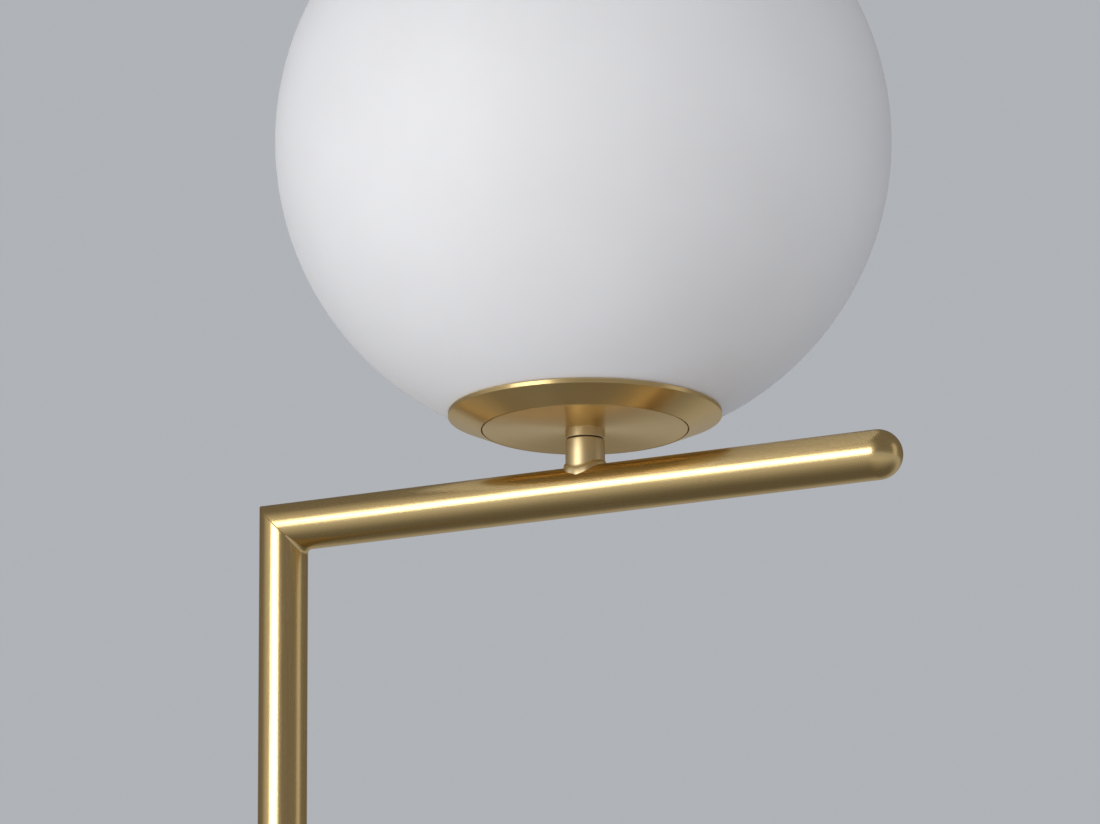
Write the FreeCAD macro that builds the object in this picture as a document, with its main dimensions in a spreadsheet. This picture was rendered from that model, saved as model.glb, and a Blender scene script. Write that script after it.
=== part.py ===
import FreeCAD, Part
import math
import os
import re

import Sketcher

# A floor lamp: a glass globe on a brass dish, carried by a horizontal arm on an upright stem that
# stands near the edge of a round base. Millimetres, +Z up. The origin is on the floor under the
# middle of the base, which is also the axis of the globe; the arm runs along +X from the stem.
# Heights of the base and stem count from the floor, heights of the neck and head from the arm's axis.

SIZES = {
    # Whole lamp
    "arm_height": 1525.0,  # floor to the axis of the arm
    "stem_edge": 19.0,  # axis of the stem to the rim of the base
    "arm_reach": 166.0,  # axis of the globe to the tip of the arm
    "globe_radius": 150.0,
    "globe_wall": 3.0,
    # Tube of the stem and the arm
    "tube_radius": 12.0,
    "tube_wall": 1.5,
    "braze_gap": 0.05,  # a plug in the bore of the tube
    "thread_gap": 0.05,  # a screw in its thread
    # Base
    "base_radius": 185.0,
    "base_height": 20.0,
    "cover_wall": 1.2,
    "cover_gap": 0.3,  # heavy disc inside the cover
    "cover_edge": 3.0,  # rounding of the cover's rim
    "foot_height": 2.0,
    "foot_inset": 13.0,  # foot ring inside the rim of the base
    "foot_width": 22.0,
    "plate_thickness": 1.4,
    "recess_depth": 11.4,  # wiring recess under the heavy disc
    "plate_screw_inset": 75.0,  # from the rim of the base
    "plate_screw_angle": 45.0,
    "plate_screw_radius": 2.0,
    "plate_screw_length": 10.0,
    "plate_screw_head": 3.6,
    "plate_screw_head_height": 1.3,
    # Fixing of the stem on the base
    "foot_plug_length": 26.0,
    "stem_screw_radius": 2.5,
    "stem_screw_spread": 7.4,  # from the stem's axis
    "stem_screw_grip": 16.0,  # length of thread in the plug
    "stem_screw_head": 4.2,
    "stem_screw_head_height": 5.0,
    "screw_clearance": 0.25,  # a screw in a plain hole
    "screw_tip_room": 1.0,  # a tapped hole beyond the tip of its screw
    "stem_recess_radius": 13.5,
    # Wiring in the base
    "flex_radius": 2.7,
    "flex_clearance": 0.9,
    "flex_base_level": 5.0,  # above the bottom plate
    "flex_base_bend": 9.0,
    "flex_side_bend": 15.0,
    "flex_lean_bend": 270.0,
    "block_across": 36.0,  # middle of the terminal block from the stem's axis, along +X
    "block_along": 43.0,  # and along +Y
    "block_width": 20.0,
    "block_length": 17.0,
    "block_height": 9.4,
    "block_wire_hole": 1.8,
    "block_wire_spread": 4.5,
    "block_screw_radius": 1.6,
    "block_screw_length": 3.5,
    "block_screw_rise": 0.4,  # head of a terminal screw below the block
    "block_fixing_radius": 1.4,
    "block_fixing_head": 1.5,
    "block_fixing_rim": 1.0,  # head wider than the shank, each side
    "recess_left_room": 18.0,  # free room round the terminal block
    "recess_right_room": 14.0,
    "recess_back_room": 32.0,
    # Cord inlet in the rim of the base
    "inlet_angle": 150.0,
    "inlet_height": 9.2,
    "inlet_bore": 3.6,
    "inlet_body": 4.9,
    "inlet_flange": 5.8,
    "inlet_flange_thickness": 1.5,
    "inlet_depth": 12.0,
    "inlet_fit": 0.15,
    "inlet_seat_gap": 0.12,  # flat flange off the round rim
    "channel_length": 33.5,  # of the cord's way in from the rim of the base
    # Joint in the middle of the stem
    "lower_stem_length": 750.0,
    "stud_root_length": 25.0,
    "stud_thread_radius": 8.0,
    "stud_thread_length": 20.0,
    "stud_bore": 5.0,
    "socket_length": 24.0,
    # Arm
    "cap_spigot": 8.0,
    "cap_wall": 2.2,
    "boss_length": 26.0,
    "boss_floor": 3.0,  # underside of the boss above the arm's axis
    "arm_hole_gap": 0.4,
    "flex_arm_drop": 6.0,  # flex below the arm's axis
    "flex_stem_shift": 4.0,  # flex behind the stem's axis at the corner
    "flex_corner_bend": 20.0,
    "flex_neck_bend": 10.0,
    # Neck
    "nipple_radius": 5.0,
    "nipple_bore": 3.75,
    "nipple_start": 4.0,  # above the arm's axis
    "neck_radius": 9.55,
    "neck_height": 18.1,  # top of the arm to the disc
    "neck_seam": 12.8,  # top of the arm to the seam
    "seam_width": 0.6,
    "seam_depth": 0.7,
    "collar_edge": 0.4,
    # Disc and bayonet
    "disc_radius": 49.6,
    "disc_thickness": 1.5,
    "disc_edge": 0.3,
    "glide_thickness": 0.7,
    "glide_width": 6.0,
    "bayonet_gap": 0.5,
    "bayonet_lift": 0.4,
    "bayonet_thickness": 1.6,
    "bayonet_turn": 60.0,
    "fixed_lug_half_angle": 18.5,
    "moving_lug_half_angle": 14.5,
    "lug_reach": 3.5,
    "spacer_radius": 22.0,
    "stop_pin_radius": 1.0,
    "stop_pin_angle": 16.8,
    "head_washer_radius": 11.0,
    "head_washer_thickness": 1.2,
    "head_nut_flats": 17.0,
    "head_nut_height": 5.0,
    # Dish ring and the clamping of the glass
    "dish_gap": 0.6,
    "lip_wall": 1.2,
    "mouth_gap": 0.6,
    "flange_width": 6.9,
    "flange_thickness": 2.0,
    "mouth_drop": 0.36,
    "dish_rim_radius": 66.1,
    "dish_rim_gap": 0.86,
    "dish_band": 2.3,
    "dish_rim_land": 0.9,
    "dish_rim_step": 0.3,
    "rim_edge": 0.5,
    "seat_gap": 0.9,
    "gasket_start": 2.6,
    "gasket_width": 8.0,
    "gasket_gap": 0.12,
    "gasket_seat_gap": 0.1,
    "clamp_rise": 1.9,
    "clamp_inner_gap": 0.9,
    "clamp_thickness": 1.6,
    "clamp_wall": 1.2,
    "clamp_step": 0.2,  # upright of the clamp ring inside that of the dish
    "clamp_width": 9.3,
    "clamp_gasket_start": 2.3,
    "clamp_gasket_width": 6.0,
    "clamp_gasket_gap": 0.05,
    "clamp_screw_edge": 2.9,
    "clamp_screw_radius": 1.5,
    "clamp_screw_head": 2.3,
    "clamp_screw_head_height": 1.8,
    "clamp_screw_stop": 0.5,
    # Lampholder
    "holder_rise": 0.5,
    "holder_radius": 19.5,
    "holder_wall": 2.2,
    "holder_floor": 4.0,
    "holder_entry": 7.0,
    "holder_ledge": 13.0,
    "ledge_width": 1.8,
    "insert_thickness": 5.0,
    "insert_gap": 0.3,
    "shell_height": 27.0,
    "shell_wall": 0.5,
    "shell_gap": 0.6,
    "barrel_height": 29.0,
    "tongue_height": 3.5,
    "tongue_width": 6.0,
    "tongue_length": 16.0,
    "tongue_metal": 0.6,
    "tongue_foot": 5.0,
    "tongue_bend": 2.0,  # start of the raised end beyond the axis
    "tongue_short": 3.0,  # raised end shorter than the half length
    "holder_screw_radius": 1.7,
    "holder_screw_spread": 10.0,
    "holder_screw_length": 4.0,
    "holder_screw_rise": 1.0,  # head below the insert
    # Bulb
    "bulb_cap_radius": 13.1,
    "bulb_cap_wall": 0.5,
    "bulb_fit": 0.08,
    "bulb_cap_height": 22.0,
    "bulb_insulator_height": 3.7,
    "bulb_contact_radius": 4.5,
    "bulb_contact_edge": 1.0,
    "bulb_contact_height": 1.5,
    "bulb_contact_gap": 0.3,
    "bulb_radius": 30.0,
    "bulb_wall": 0.9,
    "bulb_neck_length": 51.0,
    "bulb_neck_depth": 4.0,  # neck of the glass in the cap
    "bulb_stem_radius": 2.5,
    "bulb_foot_height": 1.0,  # glass foot of the stem, sealed in the neck
    "bulb_flare_height": 3.0,
    "bulb_disc_radius": 8.5,
    "bulb_disc_thickness": 1.0,
    "bulb_lower_disc": 12.0,
    "filament_length": 32.0,
    "filament_radius": 0.9,
    "filament_circle": 7.0,
}

# Sizes that follow from those above.
LEVELS = {
    # Tube, stem and arm
    "tube_bore": "tube_radius - tube_wall",
    "plug_radius": "tube_bore - braze_gap",
    "stem_offset": "base_radius - stem_edge",  # axis of the stem to the axis of the globe
    "tip_centre": "arm_reach - tube_radius",
    # Base, from the floor
    "weight_bottom": "foot_height + plate_thickness",
    "weight_top": "base_height - cover_wall",
    "weight_radius": "base_radius - cover_wall - cover_gap",
    "foot_outer": "base_radius - foot_inset",
    "foot_inner": "foot_outer - foot_width",
    "plate_screw_circle": "base_radius - plate_screw_inset",
    "channel_end": "base_radius - channel_length",
    "recess_top": "weight_bottom + recess_depth",
    "plate_screw_top": "foot_height + plate_screw_length",
    "stem_screw_top": "base_height + stem_screw_grip",
    "flex_low": "weight_bottom + flex_base_level",
    "flex_hole": "flex_radius + flex_clearance",
    "block_x": "block_across - stem_offset",
    "block_bottom": "recess_top - block_height",
    "recess_left": "block_x - block_width / 2 - recess_left_room",
    "recess_right": "block_x + block_width / 2 + recess_right_room",
    "recess_front": "-stem_recess_radius",
    "recess_back": "block_along + block_length / 2 + recess_back_room",
    "inlet_start": "base_radius - cover_wall - inlet_depth",
    "inlet_channel": "inlet_body + inlet_fit",
    "inlet_seat": "base_radius + inlet_seat_gap",
    # Stem
    "stem_joint": "base_height + lower_stem_length",
    # Neck and head, from the arm's axis
    "seam_level": "tube_radius + neck_seam",
    "disc_height": "tube_radius + neck_height",
    "disc_top": "disc_height + disc_thickness",
    "flange_bottom": "disc_top + glide_thickness",
    "flange_top": "flange_bottom + flange_thickness",
    "bayonet_bottom": "flange_top + bayonet_lift",
    "bayonet_top": "bayonet_bottom + bayonet_thickness",
    "head_washer_top": "bayonet_top + head_washer_thickness",
    "head_nut_top": "head_washer_top + head_nut_height",
    "entry_radius": "nipple_radius + thread_gap",
    "dish_inner": "disc_radius + dish_gap",
    "seat_inner": "dish_inner + lip_wall",
    "mouth_radius": "seat_inner + mouth_gap",
    "flange_inner": "seat_inner - flange_width",
    "lug_inner": "flange_inner - lug_reach",
    "bayonet_radius": "lug_inner - bayonet_gap",
    "fixed_lug_radius": "flange_inner - bayonet_gap",
    "stop_pin_circle": "(lug_inner + fixed_lug_radius) / 2",
    "glide_outer": "disc_radius - dish_gap",
    "mouth_level": "flange_top - mouth_drop",
    "globe_centre": "mouth_level + sqrt(globe_radius^2 - mouth_radius^2)",
    "globe_inner": "globe_radius - globe_wall",
    # Dish ring: its seat and the clamp lie on cones close to the glass
    "rim_top": "globe_centre - sqrt(globe_radius^2 - dish_rim_radius^2) - dish_rim_gap",
    "rim_low": "rim_top - dish_band",
    "seat_outer": "dish_rim_radius - dish_rim_land - dish_rim_step",
    "seat_sphere": "globe_radius + seat_gap",
    "seat_inner_level": "globe_centre - sqrt(seat_sphere^2 - seat_inner^2)",
    "seat_outer_level": "globe_centre - sqrt(seat_sphere^2 - seat_outer^2)",
    "seat_slope": "(seat_outer_level - seat_inner_level) / (seat_outer - seat_inner)",
    "gasket_inner": "seat_inner + gasket_start",
    "gasket_outer": "gasket_inner + gasket_width",
    "gasket_sphere": "globe_radius + gasket_gap",
    "clamp_bottom": "flange_top + clamp_rise",
    "clamp_inner": "fixed_lug_radius + clamp_inner_gap",
    "clamp_bend": "seat_inner - clamp_step",
    "clamp_outer": "clamp_bend + clamp_width",
    "clamp_sphere": "globe_inner - seat_gap",
    "clamp_bend_level": "globe_centre - sqrt(clamp_sphere^2 - clamp_bend^2)",
    "clamp_outer_level": "globe_centre - sqrt(clamp_sphere^2 - clamp_outer^2)",
    "clamp_slope": "(clamp_outer_level - clamp_bend_level) / (clamp_outer - clamp_bend)",
    "clamp_gasket_inner": "clamp_bend + clamp_gasket_start",
    "clamp_gasket_outer": "clamp_gasket_inner + clamp_gasket_width",
    "clamp_gasket_sphere": "globe_inner - clamp_gasket_gap",
    "clamp_screw_circle": "flange_inner + clamp_screw_edge",
    "clamp_screw_seat": "clamp_bottom + clamp_thickness",
    # Lampholder
    "holder_bottom": "head_nut_top + holder_rise",
    "insert_bottom": "holder_bottom + holder_ledge",
    "insert_top": "insert_bottom + insert_thickness",
    "holder_bore": "holder_radius - holder_wall",
    "shell_bore": "bulb_cap_radius + bulb_fit",
    "shell_radius": "shell_bore + shell_wall",
    # Bulb
    "bulb_bottom": "insert_top + tongue_height + bulb_contact_gap",
    "insulator_bottom": "bulb_bottom + bulb_contact_height",
    "bulb_cap_bottom": "insulator_bottom + bulb_insulator_height",
    "bulb_cap_top": "bulb_cap_bottom + bulb_cap_height",
    "bulb_neck_radius": "bulb_cap_radius - bulb_cap_wall",
    "bulb_centre": "bulb_cap_top + bulb_neck_length",
    # Bulb: its flank meets the ball 30 degrees below the ball's middle
    "bulb_flank_top": "bulb_centre - bulb_radius / 2",
    "bulb_flank_radius": "bulb_radius * sqrt(3) / 2",
    "lower_disc": "bulb_cap_top + bulb_lower_disc",
    "filament_bottom": "lower_disc + bulb_disc_thickness",
    "filament_top": "filament_bottom + filament_length",
}

doc = FreeCAD.newDocument("globe_floor_lamp")
sizes = doc.addObject("Spreadsheet::Sheet", "sizes")
levels = doc.addObject("Spreadsheet::Sheet", "levels")
parts = []


def link(text, own=""):
    """The expression with each name of a size led by the sheet that holds it, except the sheet own."""

    def owner(match):
        word = match.group(0)
        for sheet, names in (("sizes", SIZES), ("levels", LEVELS)):
            if word in names and sheet != own:
                return sheet + "." + word
        return word

    return re.sub(r"[a-z_]+", owner, text)


def number(text):
    """The value that an expression has now."""
    return float(levels.evalExpression(link(text)))


def bind(thing, target, text):
    thing.setExpression(target, link(text))


def place(thing, origin, yaw="0", pitch="0"):
    """Turn a sub-part about Y by pitch and then about Z by yaw, and bind its place to the sizes."""
    turn_z = FreeCAD.Rotation(FreeCAD.Vector(0, 0, 1), number(yaw))
    turn_y = FreeCAD.Rotation(FreeCAD.Vector(0, 1, 0), number(pitch))
    thing.Placement = FreeCAD.Placement(FreeCAD.Vector(0, 0, 0), turn_z.multiply(turn_y))
    for axis, text in zip("xyz", origin):
        bind(thing, "Placement.Base." + axis, text)


# Sketches and features of the turned, bent and drilled pieces.


def new_body(label, origin=("0", "0", "0"), yaw="0", pitch="0"):
    body = doc.addObject("PartDesign::Body", label)
    body.Label = label
    body.AllowCompound = True
    place(body, origin, yaw, pitch)
    return body


def new_sketch(body, plane="XY_Plane", level="0"):
    sketch = body.newObject("Sketcher::SketchObject", body.Name + "_sketch")
    origin_plane = next(item for item in body.Origin.OriginFeatures if item.Role == plane)
    sketch.AttachmentSupport = [(origin_plane, "")]
    sketch.MapMode = "FlatFace"
    bind(sketch, "AttachmentOffset.Base.z", level)
    return sketch


def hold(sketch, edge, end, across, along):
    """Fix the end of an edge at a place measured from the sketch's origin; None leaves one free."""
    for kind, text, axis in (("DistanceX", across, -2), ("DistanceY", along, -1)):
        if text is None:
            continue
        if text == "0":
            sketch.addConstraint(Sketcher.Constraint("PointOnObject", edge, end, axis))
            continue
        rule = Sketcher.Constraint(kind, -1, 1, edge, end, number(text))
        index = sketch.addConstraint(rule)
        bind(sketch, "Constraints[%d]" % index, text)


def outline(sketch, corners):
    """A closed outline of straight lines through corners."""
    first = sketch.GeometryCount
    points = [FreeCAD.Vector(number(across), number(along), 0) for across, along in corners]
    count = len(points)
    for i in range(count):
        sketch.addGeometry(Part.LineSegment(points[i], points[(i + 1) % count]), False)
    for i in range(count):
        following = first + (i + 1) % count
        sketch.addConstraint(Sketcher.Constraint("Coincident", first + i, 2, following, 1))
        hold(sketch, first + i, 1, *corners[i])
    return sketch


def circle(sketch, radius, across="0", along="0"):
    centre = FreeCAD.Vector(number(across), number(along), 0)
    up = FreeCAD.Vector(0, 0, 1)
    edge = sketch.addGeometry(Part.Circle(centre, up, number(radius)), False)
    hold(sketch, edge, 3, across, along)
    index = sketch.addConstraint(Sketcher.Constraint("Radius", edge, number(radius)))
    bind(sketch, "Constraints[%d]" % index, radius)
    return sketch


def sector(sketch, inner, outer, half_angle):
    """A wedge about +X: straight sides and inner end, and an arc about the origin as its outer end."""
    side = "%s * cos(%s)"
    rise = "%s * sin(%s)"
    low_out = (side % (outer, half_angle), "-" + rise % (outer, half_angle))
    high_out = (None, rise % (outer, half_angle))
    low_in = (side % (inner, half_angle), "-" + rise % (inner, half_angle))
    high_in = (side % (inner, half_angle), rise % (inner, half_angle))
    angle = math.radians(number(half_angle))
    rim = Part.Circle(FreeCAD.Vector(0, 0, 0), FreeCAD.Vector(0, 0, 1), number(outer))
    arc = sketch.addGeometry(Part.ArcOfCircle(rim, -angle, angle), False)
    inside = [FreeCAD.Vector(number(x), number(y), 0) for x, y in (high_in, low_in)]
    reach = FreeCAD.Vector(number(low_out[0]), number(high_out[1]), 0)
    start = FreeCAD.Vector(number(low_out[0]), number(low_out[1]), 0)
    upper = sketch.addGeometry(Part.LineSegment(reach, inside[0]), False)
    end = sketch.addGeometry(Part.LineSegment(inside[0], inside[1]), False)
    lower = sketch.addGeometry(Part.LineSegment(inside[1], start), False)
    sketch.addConstraint(Sketcher.Constraint("Coincident", arc, 3, -1, 1))
    for one, two in (((arc, 2), (upper, 1)), ((upper, 2), (end, 1)), ((end, 2), (lower, 1))):
        sketch.addConstraint(Sketcher.Constraint("Coincident", *one, *two))
    sketch.addConstraint(Sketcher.Constraint("Coincident", lower, 2, arc, 1))
    hold(sketch, arc, 1, *low_out)
    hold(sketch, arc, 2, *high_out)
    hold(sketch, end, 1, *high_in)
    hold(sketch, end, 2, *low_in)
    return sketch


def pad(body, sketch, length, both_ways=False):
    feature = body.newObject("PartDesign::Pad", body.Name + "_pad")
    feature.Profile = sketch
    if both_ways:
        feature.SideType = "Symmetric"
    bind(feature, "Length", length)
    doc.recompute()
    return feature


def pocket(body, sketch, depth, upwards=False, both_ways=False):
    """Cut a sketch down from its plane, or up from it, and see that something was cut."""
    doc.recompute()
    before = body.Shape.Volume
    feature = body.newObject("PartDesign::Pocket", body.Name + "_pocket")
    feature.Profile = sketch
    feature.Reversed = upwards
    if both_ways:
        feature.SideType = "Symmetric"
    bind(feature, "Length", depth)
    doc.recompute()
    if not body.Shape.Volume < before:
        raise RuntimeError(body.Label + ": a pocket cuts nothing")
    return feature


def around(body, feature, count):
    """Repeat a feature about the body's Z axis."""
    pattern = body.newObject("PartDesign::PolarPattern", body.Name + "_pattern")
    pattern.Originals = [feature]
    z_axis = next(item for item in body.Origin.OriginFeatures if item.Role == "Z_Axis")
    pattern.Axis = (z_axis, [""])
    pattern.Angle = 360
    pattern.Occurrences = count
    body.Tip = pattern
    doc.recompute()
    return pattern


def round_edges(body, kind, size, spots):
    """Round (Fillet) or bevel (Chamfer) the circular edges at (radius, height) spots."""
    same = 1e-4
    doc.recompute()
    tip = body.Tip
    names = []
    for radius, height in spots:
        for index, edge in enumerate(tip.Shape.Edges, 1):
            curve = edge.Curve
            if not isinstance(curve, Part.Circle) or abs(curve.Radius - number(radius)) > same:
                continue
            if abs(curve.Center.z - number(height)) < same:
                names.append("Edge%d" % index)
    if len(names) < len(spots):
        raise RuntimeError(body.Label + ": an edge to round is missing")
    feature = body.newObject("PartDesign::" + kind, body.Name + "_" + kind.lower())
    feature.Base = (tip, names)
    bind(feature, "Radius" if kind == "Fillet" else "Size", size)
    doc.recompute()
    return feature


def keep(thing):
    parts.append(thing)
    return thing


def lathe(label, corners, origin=("0", "0", "0"), yaw="0", pitch="0"):
    """A turned piece: corners are (radius, height) pairs round its half section."""
    body = new_body(label, origin, yaw, pitch)
    sketch = outline(new_sketch(body, "XZ_Plane"), corners)
    feature = body.newObject("PartDesign::Revolution", label + "_turning")
    feature.Profile = sketch
    feature.ReferenceAxis = (sketch, ["V_Axis"])
    feature.Angle = 360
    doc.recompute()
    return keep(body)


def washer(label, inner, outer, bottom, top, origin):
    corners = [(inner, bottom), (outer, bottom), (outer, top), (inner, top)]
    return lathe(label, corners, origin)


def drill(body, radius, centres, top, depth):
    sketch = new_sketch(body, "XY_Plane", top)
    for across, along in centres:
        circle(sketch, radius, across, along)
    return pocket(body, sketch, depth)


def pegs(label, centres, steps, origin):
    """Pins or screws side by side: steps are (radius, bottom, top) of each length of the peg."""
    body = new_body(label, origin)
    for radius, bottom, top in steps:
        sketch = new_sketch(body, "XY_Plane", bottom)
        for across, along in centres:
            circle(sketch, radius, across, along)
        pad(body, sketch, "%s - (%s)" % (top, bottom))
    return keep(body)


def on_circle(radius, count, start="0"):
    """Centres spaced evenly on a circle, the first at the angle start."""
    turns = [360 * i / count for i in range(count)]
    return [
        ("%s * cos(%s + %g)" % (radius, start, turn), "%s * sin(%s + %g)" % (radius, start, turn))
        for turn in turns
    ]


# Ready-made solids and booleans for pieces cut by a sphere, a crossing tube or a slanted hole.


def solid(kind, name, dims, origin=("0", "0", "0"), yaw="0", pitch="0"):
    thing = doc.addObject("Part::" + kind, name)
    for key, text in dims.items():
        bind(thing, key, text)
    place(thing, origin, yaw, pitch)
    return thing


def cut(label, base, tool):
    thing = doc.addObject("Part::Cut", label)
    thing.Base = base
    thing.Tool = tool
    thing.Label = label
    return thing


def fuse(label, base, tool):
    thing = doc.addObject("Part::Fuse", label)
    thing.Base = base
    thing.Tool = tool
    thing.Label = label
    return thing


def fill_sheets():
    for sheet, table in ((sizes, SIZES), (levels, LEVELS)):
        for row, (name, entry) in enumerate(table.items(), 1):
            text = "=" + link(entry, "levels") if sheet is levels else str(entry)
            sheet.set("A%d" % row, name)
            sheet.set("B%d" % row, text)
            sheet.setAlias("B%d" % row, name)
    doc.recompute()


FLOOR = ("0", "0", "0")
STEM = ("-stem_offset", "0", "0")
HEAD = ("0", "0", "arm_height")
STEM_SCREWS = [("0", "stem_screw_spread"), ("0", "-stem_screw_spread")]
PLATE_SCREWS = 4
LUGS = 3  # of the bayonet, each with a stop pin and a clamp screw
FILAMENTS = 4


def make_base():
    washer("base_foot_ring", "foot_inner", "foot_outer", "0", "foot_height", FLOOR)
    plate = lathe(
        "base_bottom_plate",
        [
            ("0", "foot_height"),
            ("weight_radius", "foot_height"),
            ("weight_radius", "weight_bottom"),
            ("0", "weight_bottom"),
        ],
    )
    plate_screws = on_circle("plate_screw_circle", PLATE_SCREWS, "plate_screw_angle")
    clear = "plate_screw_radius + screw_clearance"
    drill(plate, clear, plate_screws, "weight_bottom", "2 * plate_thickness")
    head_low = "foot_height - plate_screw_head_height"
    steps = [("plate_screw_head", head_low, "foot_height")]
    steps.append(("plate_screw_radius", "foot_height", "plate_screw_top"))
    pegs("bottom_plate_screws", plate_screws, steps, FLOOR)

    weight = lathe(
        "base_weight",
        [
            ("0", "weight_bottom"),
            ("weight_radius", "weight_bottom"),
            ("weight_radius", "weight_top"),
            ("0", "weight_top"),
        ],
    )
    round_edges(weight, "Chamfer", "cover_edge", [("weight_radius", "weight_top")])
    recess = new_sketch(weight, "XY_Plane", "recess_top")
    left, right = "recess_left", "recess_right"
    front, back = "recess_front", "recess_back"
    outline(recess, [(left, front), (right, front), (right, back), (left, back)])
    pocket(weight, recess, "2 * recess_depth")
    stem_recess = circle(new_sketch(weight, "XY_Plane", "recess_top"), "stem_recess_radius", "-stem_offset")
    pocket(weight, stem_recess, "2 * recess_depth")
    ends = ("channel_end", "base_radius")
    corners = []
    for reach, side in ((ends[0], "-"), (ends[1], "-"), (ends[1], "+"), (ends[0], "+")):
        opposite = "+" if side == "-" else "-"
        across = "(%s) * cos(inlet_angle) %s inlet_channel * sin(inlet_angle)" % (reach, opposite)
        along = "(%s) * sin(inlet_angle) %s inlet_channel * cos(inlet_angle)" % (reach, side)
        corners.append((across, along))
    pocket(weight, outline(new_sketch(weight, "XY_Plane", "recess_top"), corners), "2 * recess_depth")
    stem_screws = [("-stem_offset", along) for _, along in STEM_SCREWS]
    web = "weight_top - recess_top"
    drill(weight, "stem_screw_radius + screw_clearance", stem_screws, "weight_top", "2 * (%s)" % web)
    drill(weight, "flex_hole", [("-stem_offset", "0")], "weight_top", "2 * (%s)" % web)
    thread = "plate_screw_radius + thread_gap"
    tip = "plate_screw_top + screw_tip_room"
    drill(weight, thread, plate_screws, tip, "plate_screw_length + screw_tip_room")

    shell = lathe(
        "base_cover_shell",
        [
            ("base_radius - cover_wall", "foot_height"),
            ("base_radius", "foot_height"),
            ("base_radius", "base_height"),
            ("0", "base_height"),
            ("0", "weight_top"),
            ("base_radius - cover_wall", "weight_top"),
        ],
    )
    parts.remove(shell)
    round_edges(shell, "Fillet", "cover_edge", [("base_radius", "base_height")])
    inner = "cover_edge - cover_wall"
    round_edges(shell, "Fillet", inner, [("base_radius - cover_wall", "weight_top")])
    drill(shell, "stem_screw_radius + screw_clearance", stem_screws, "base_height", "2 * cover_wall")
    drill(shell, "flex_hole", [("-stem_offset", "0")], "base_height", "2 * cover_wall")
    hole = solid(
        "Cylinder",
        "inlet_hole",
        {"Radius": "inlet_channel", "Height": "base_radius"},
        ("0", "0", "inlet_height"),
        "inlet_angle",
        "90",
    )
    keep(cut("base_cover", shell, hole))

    lathe(
        "cord_inlet_bush",
        [
            ("inlet_bore", "inlet_start"),
            ("inlet_body", "inlet_start"),
            ("inlet_body", "inlet_seat"),
            ("inlet_flange", "inlet_seat"),
            ("inlet_flange", "inlet_seat + inlet_flange_thickness"),
            ("inlet_bore", "inlet_seat + inlet_flange_thickness"),
        ],
        ("0", "0", "inlet_height"),
        "inlet_angle",
        "90",
    )


def make_terminal_block():
    """A two-way block against the roof of the recess, wires in at both ends, screws from below."""
    origin = ("block_x", "block_along", "0")
    half, deep = "block_width / 2", "block_length / 2"
    body = new_body("terminal_block", origin)
    sketch = new_sketch(body, "XY_Plane", "block_bottom")
    outline(sketch, [("-" + half, "-" + deep), (half, "-" + deep), (half, deep), ("-" + half, deep)])
    pad(body, sketch, "block_height")
    wires = new_sketch(body, "XZ_Plane")
    for side in ("-", ""):
        circle(wires, "block_wire_hole", side + "block_wire_spread", "flex_low + block_wire_hole")
    pocket(body, wires, "2 * block_length", both_ways=True)
    screw_spots = [(side + "block_wire_spread", "0") for side in ("-", "")]
    well = "block_screw_radius + thread_gap"
    drill(body, well, screw_spots, "block_bottom + block_screw_length", "2 * block_screw_length")
    fixing_spots = [("0", side + "block_length / 4") for side in ("-", "")]
    clear = "block_fixing_radius + thread_gap"
    drill(body, clear, fixing_spots, "recess_top", "2 * block_height")
    keep(body)
    top = "block_bottom + block_screw_length - thread_gap"
    steps = [("block_screw_radius", "block_bottom - block_screw_rise", top)]
    pegs("terminal_screws", screw_spots, steps, origin)
    head = "block_fixing_radius + block_fixing_rim"
    steps = [(head, "block_bottom - block_fixing_head", "block_bottom")]
    steps.append(("block_fixing_radius", "block_bottom", "recess_top"))
    pegs("block_fixing_screws", fixing_spots, steps, origin)


def make_stem():
    plug = washer(
        "stem_foot_plug", "flex_hole", "plug_radius", "base_height", "base_height + foot_plug_length", STEM
    )
    tip = "stem_screw_top + screw_tip_room"
    thread = "stem_screw_radius + thread_gap"
    drill(plug, thread, STEM_SCREWS, tip, "stem_screw_grip + 2 * screw_tip_room")
    steps = [("stem_screw_head", "recess_top - stem_screw_head_height", "recess_top")]
    steps.append(("stem_screw_radius", "recess_top", "stem_screw_top"))
    pegs("stem_fixing_screws", STEM_SCREWS, steps, STEM)
    washer("stem_lower_tube", "tube_bore", "tube_radius", "base_height", "stem_joint", STEM)
    lathe(
        "stem_joint_stud",
        [
            ("stud_bore", "stem_joint - stud_root_length"),
            ("plug_radius", "stem_joint - stud_root_length"),
            ("plug_radius", "stem_joint"),
            ("stud_thread_radius", "stem_joint"),
            ("stud_thread_radius", "stem_joint + stud_thread_length"),
            ("stud_bore", "stem_joint + stud_thread_length"),
        ],
        STEM,
    )
    socket_bore = "stud_thread_radius + thread_gap"
    socket_top = "stem_joint + socket_length"
    washer("stem_joint_socket", socket_bore, "plug_radius", "stem_joint", socket_top, STEM)

    upper = washer(
        "stem_upper_tube", "tube_bore", "tube_radius", "stem_joint", "arm_height + tube_radius", STEM
    )
    low, high = "arm_height - 2 * tube_radius", "arm_height + 2 * tube_radius"
    away = "2 * tube_radius"
    mitre = outline(new_sketch(upper, "XZ_Plane"), [("-" + away, high), (away, low), (away, high)])
    pocket(upper, mitre, "4 * tube_radius", both_ways=True)


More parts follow.
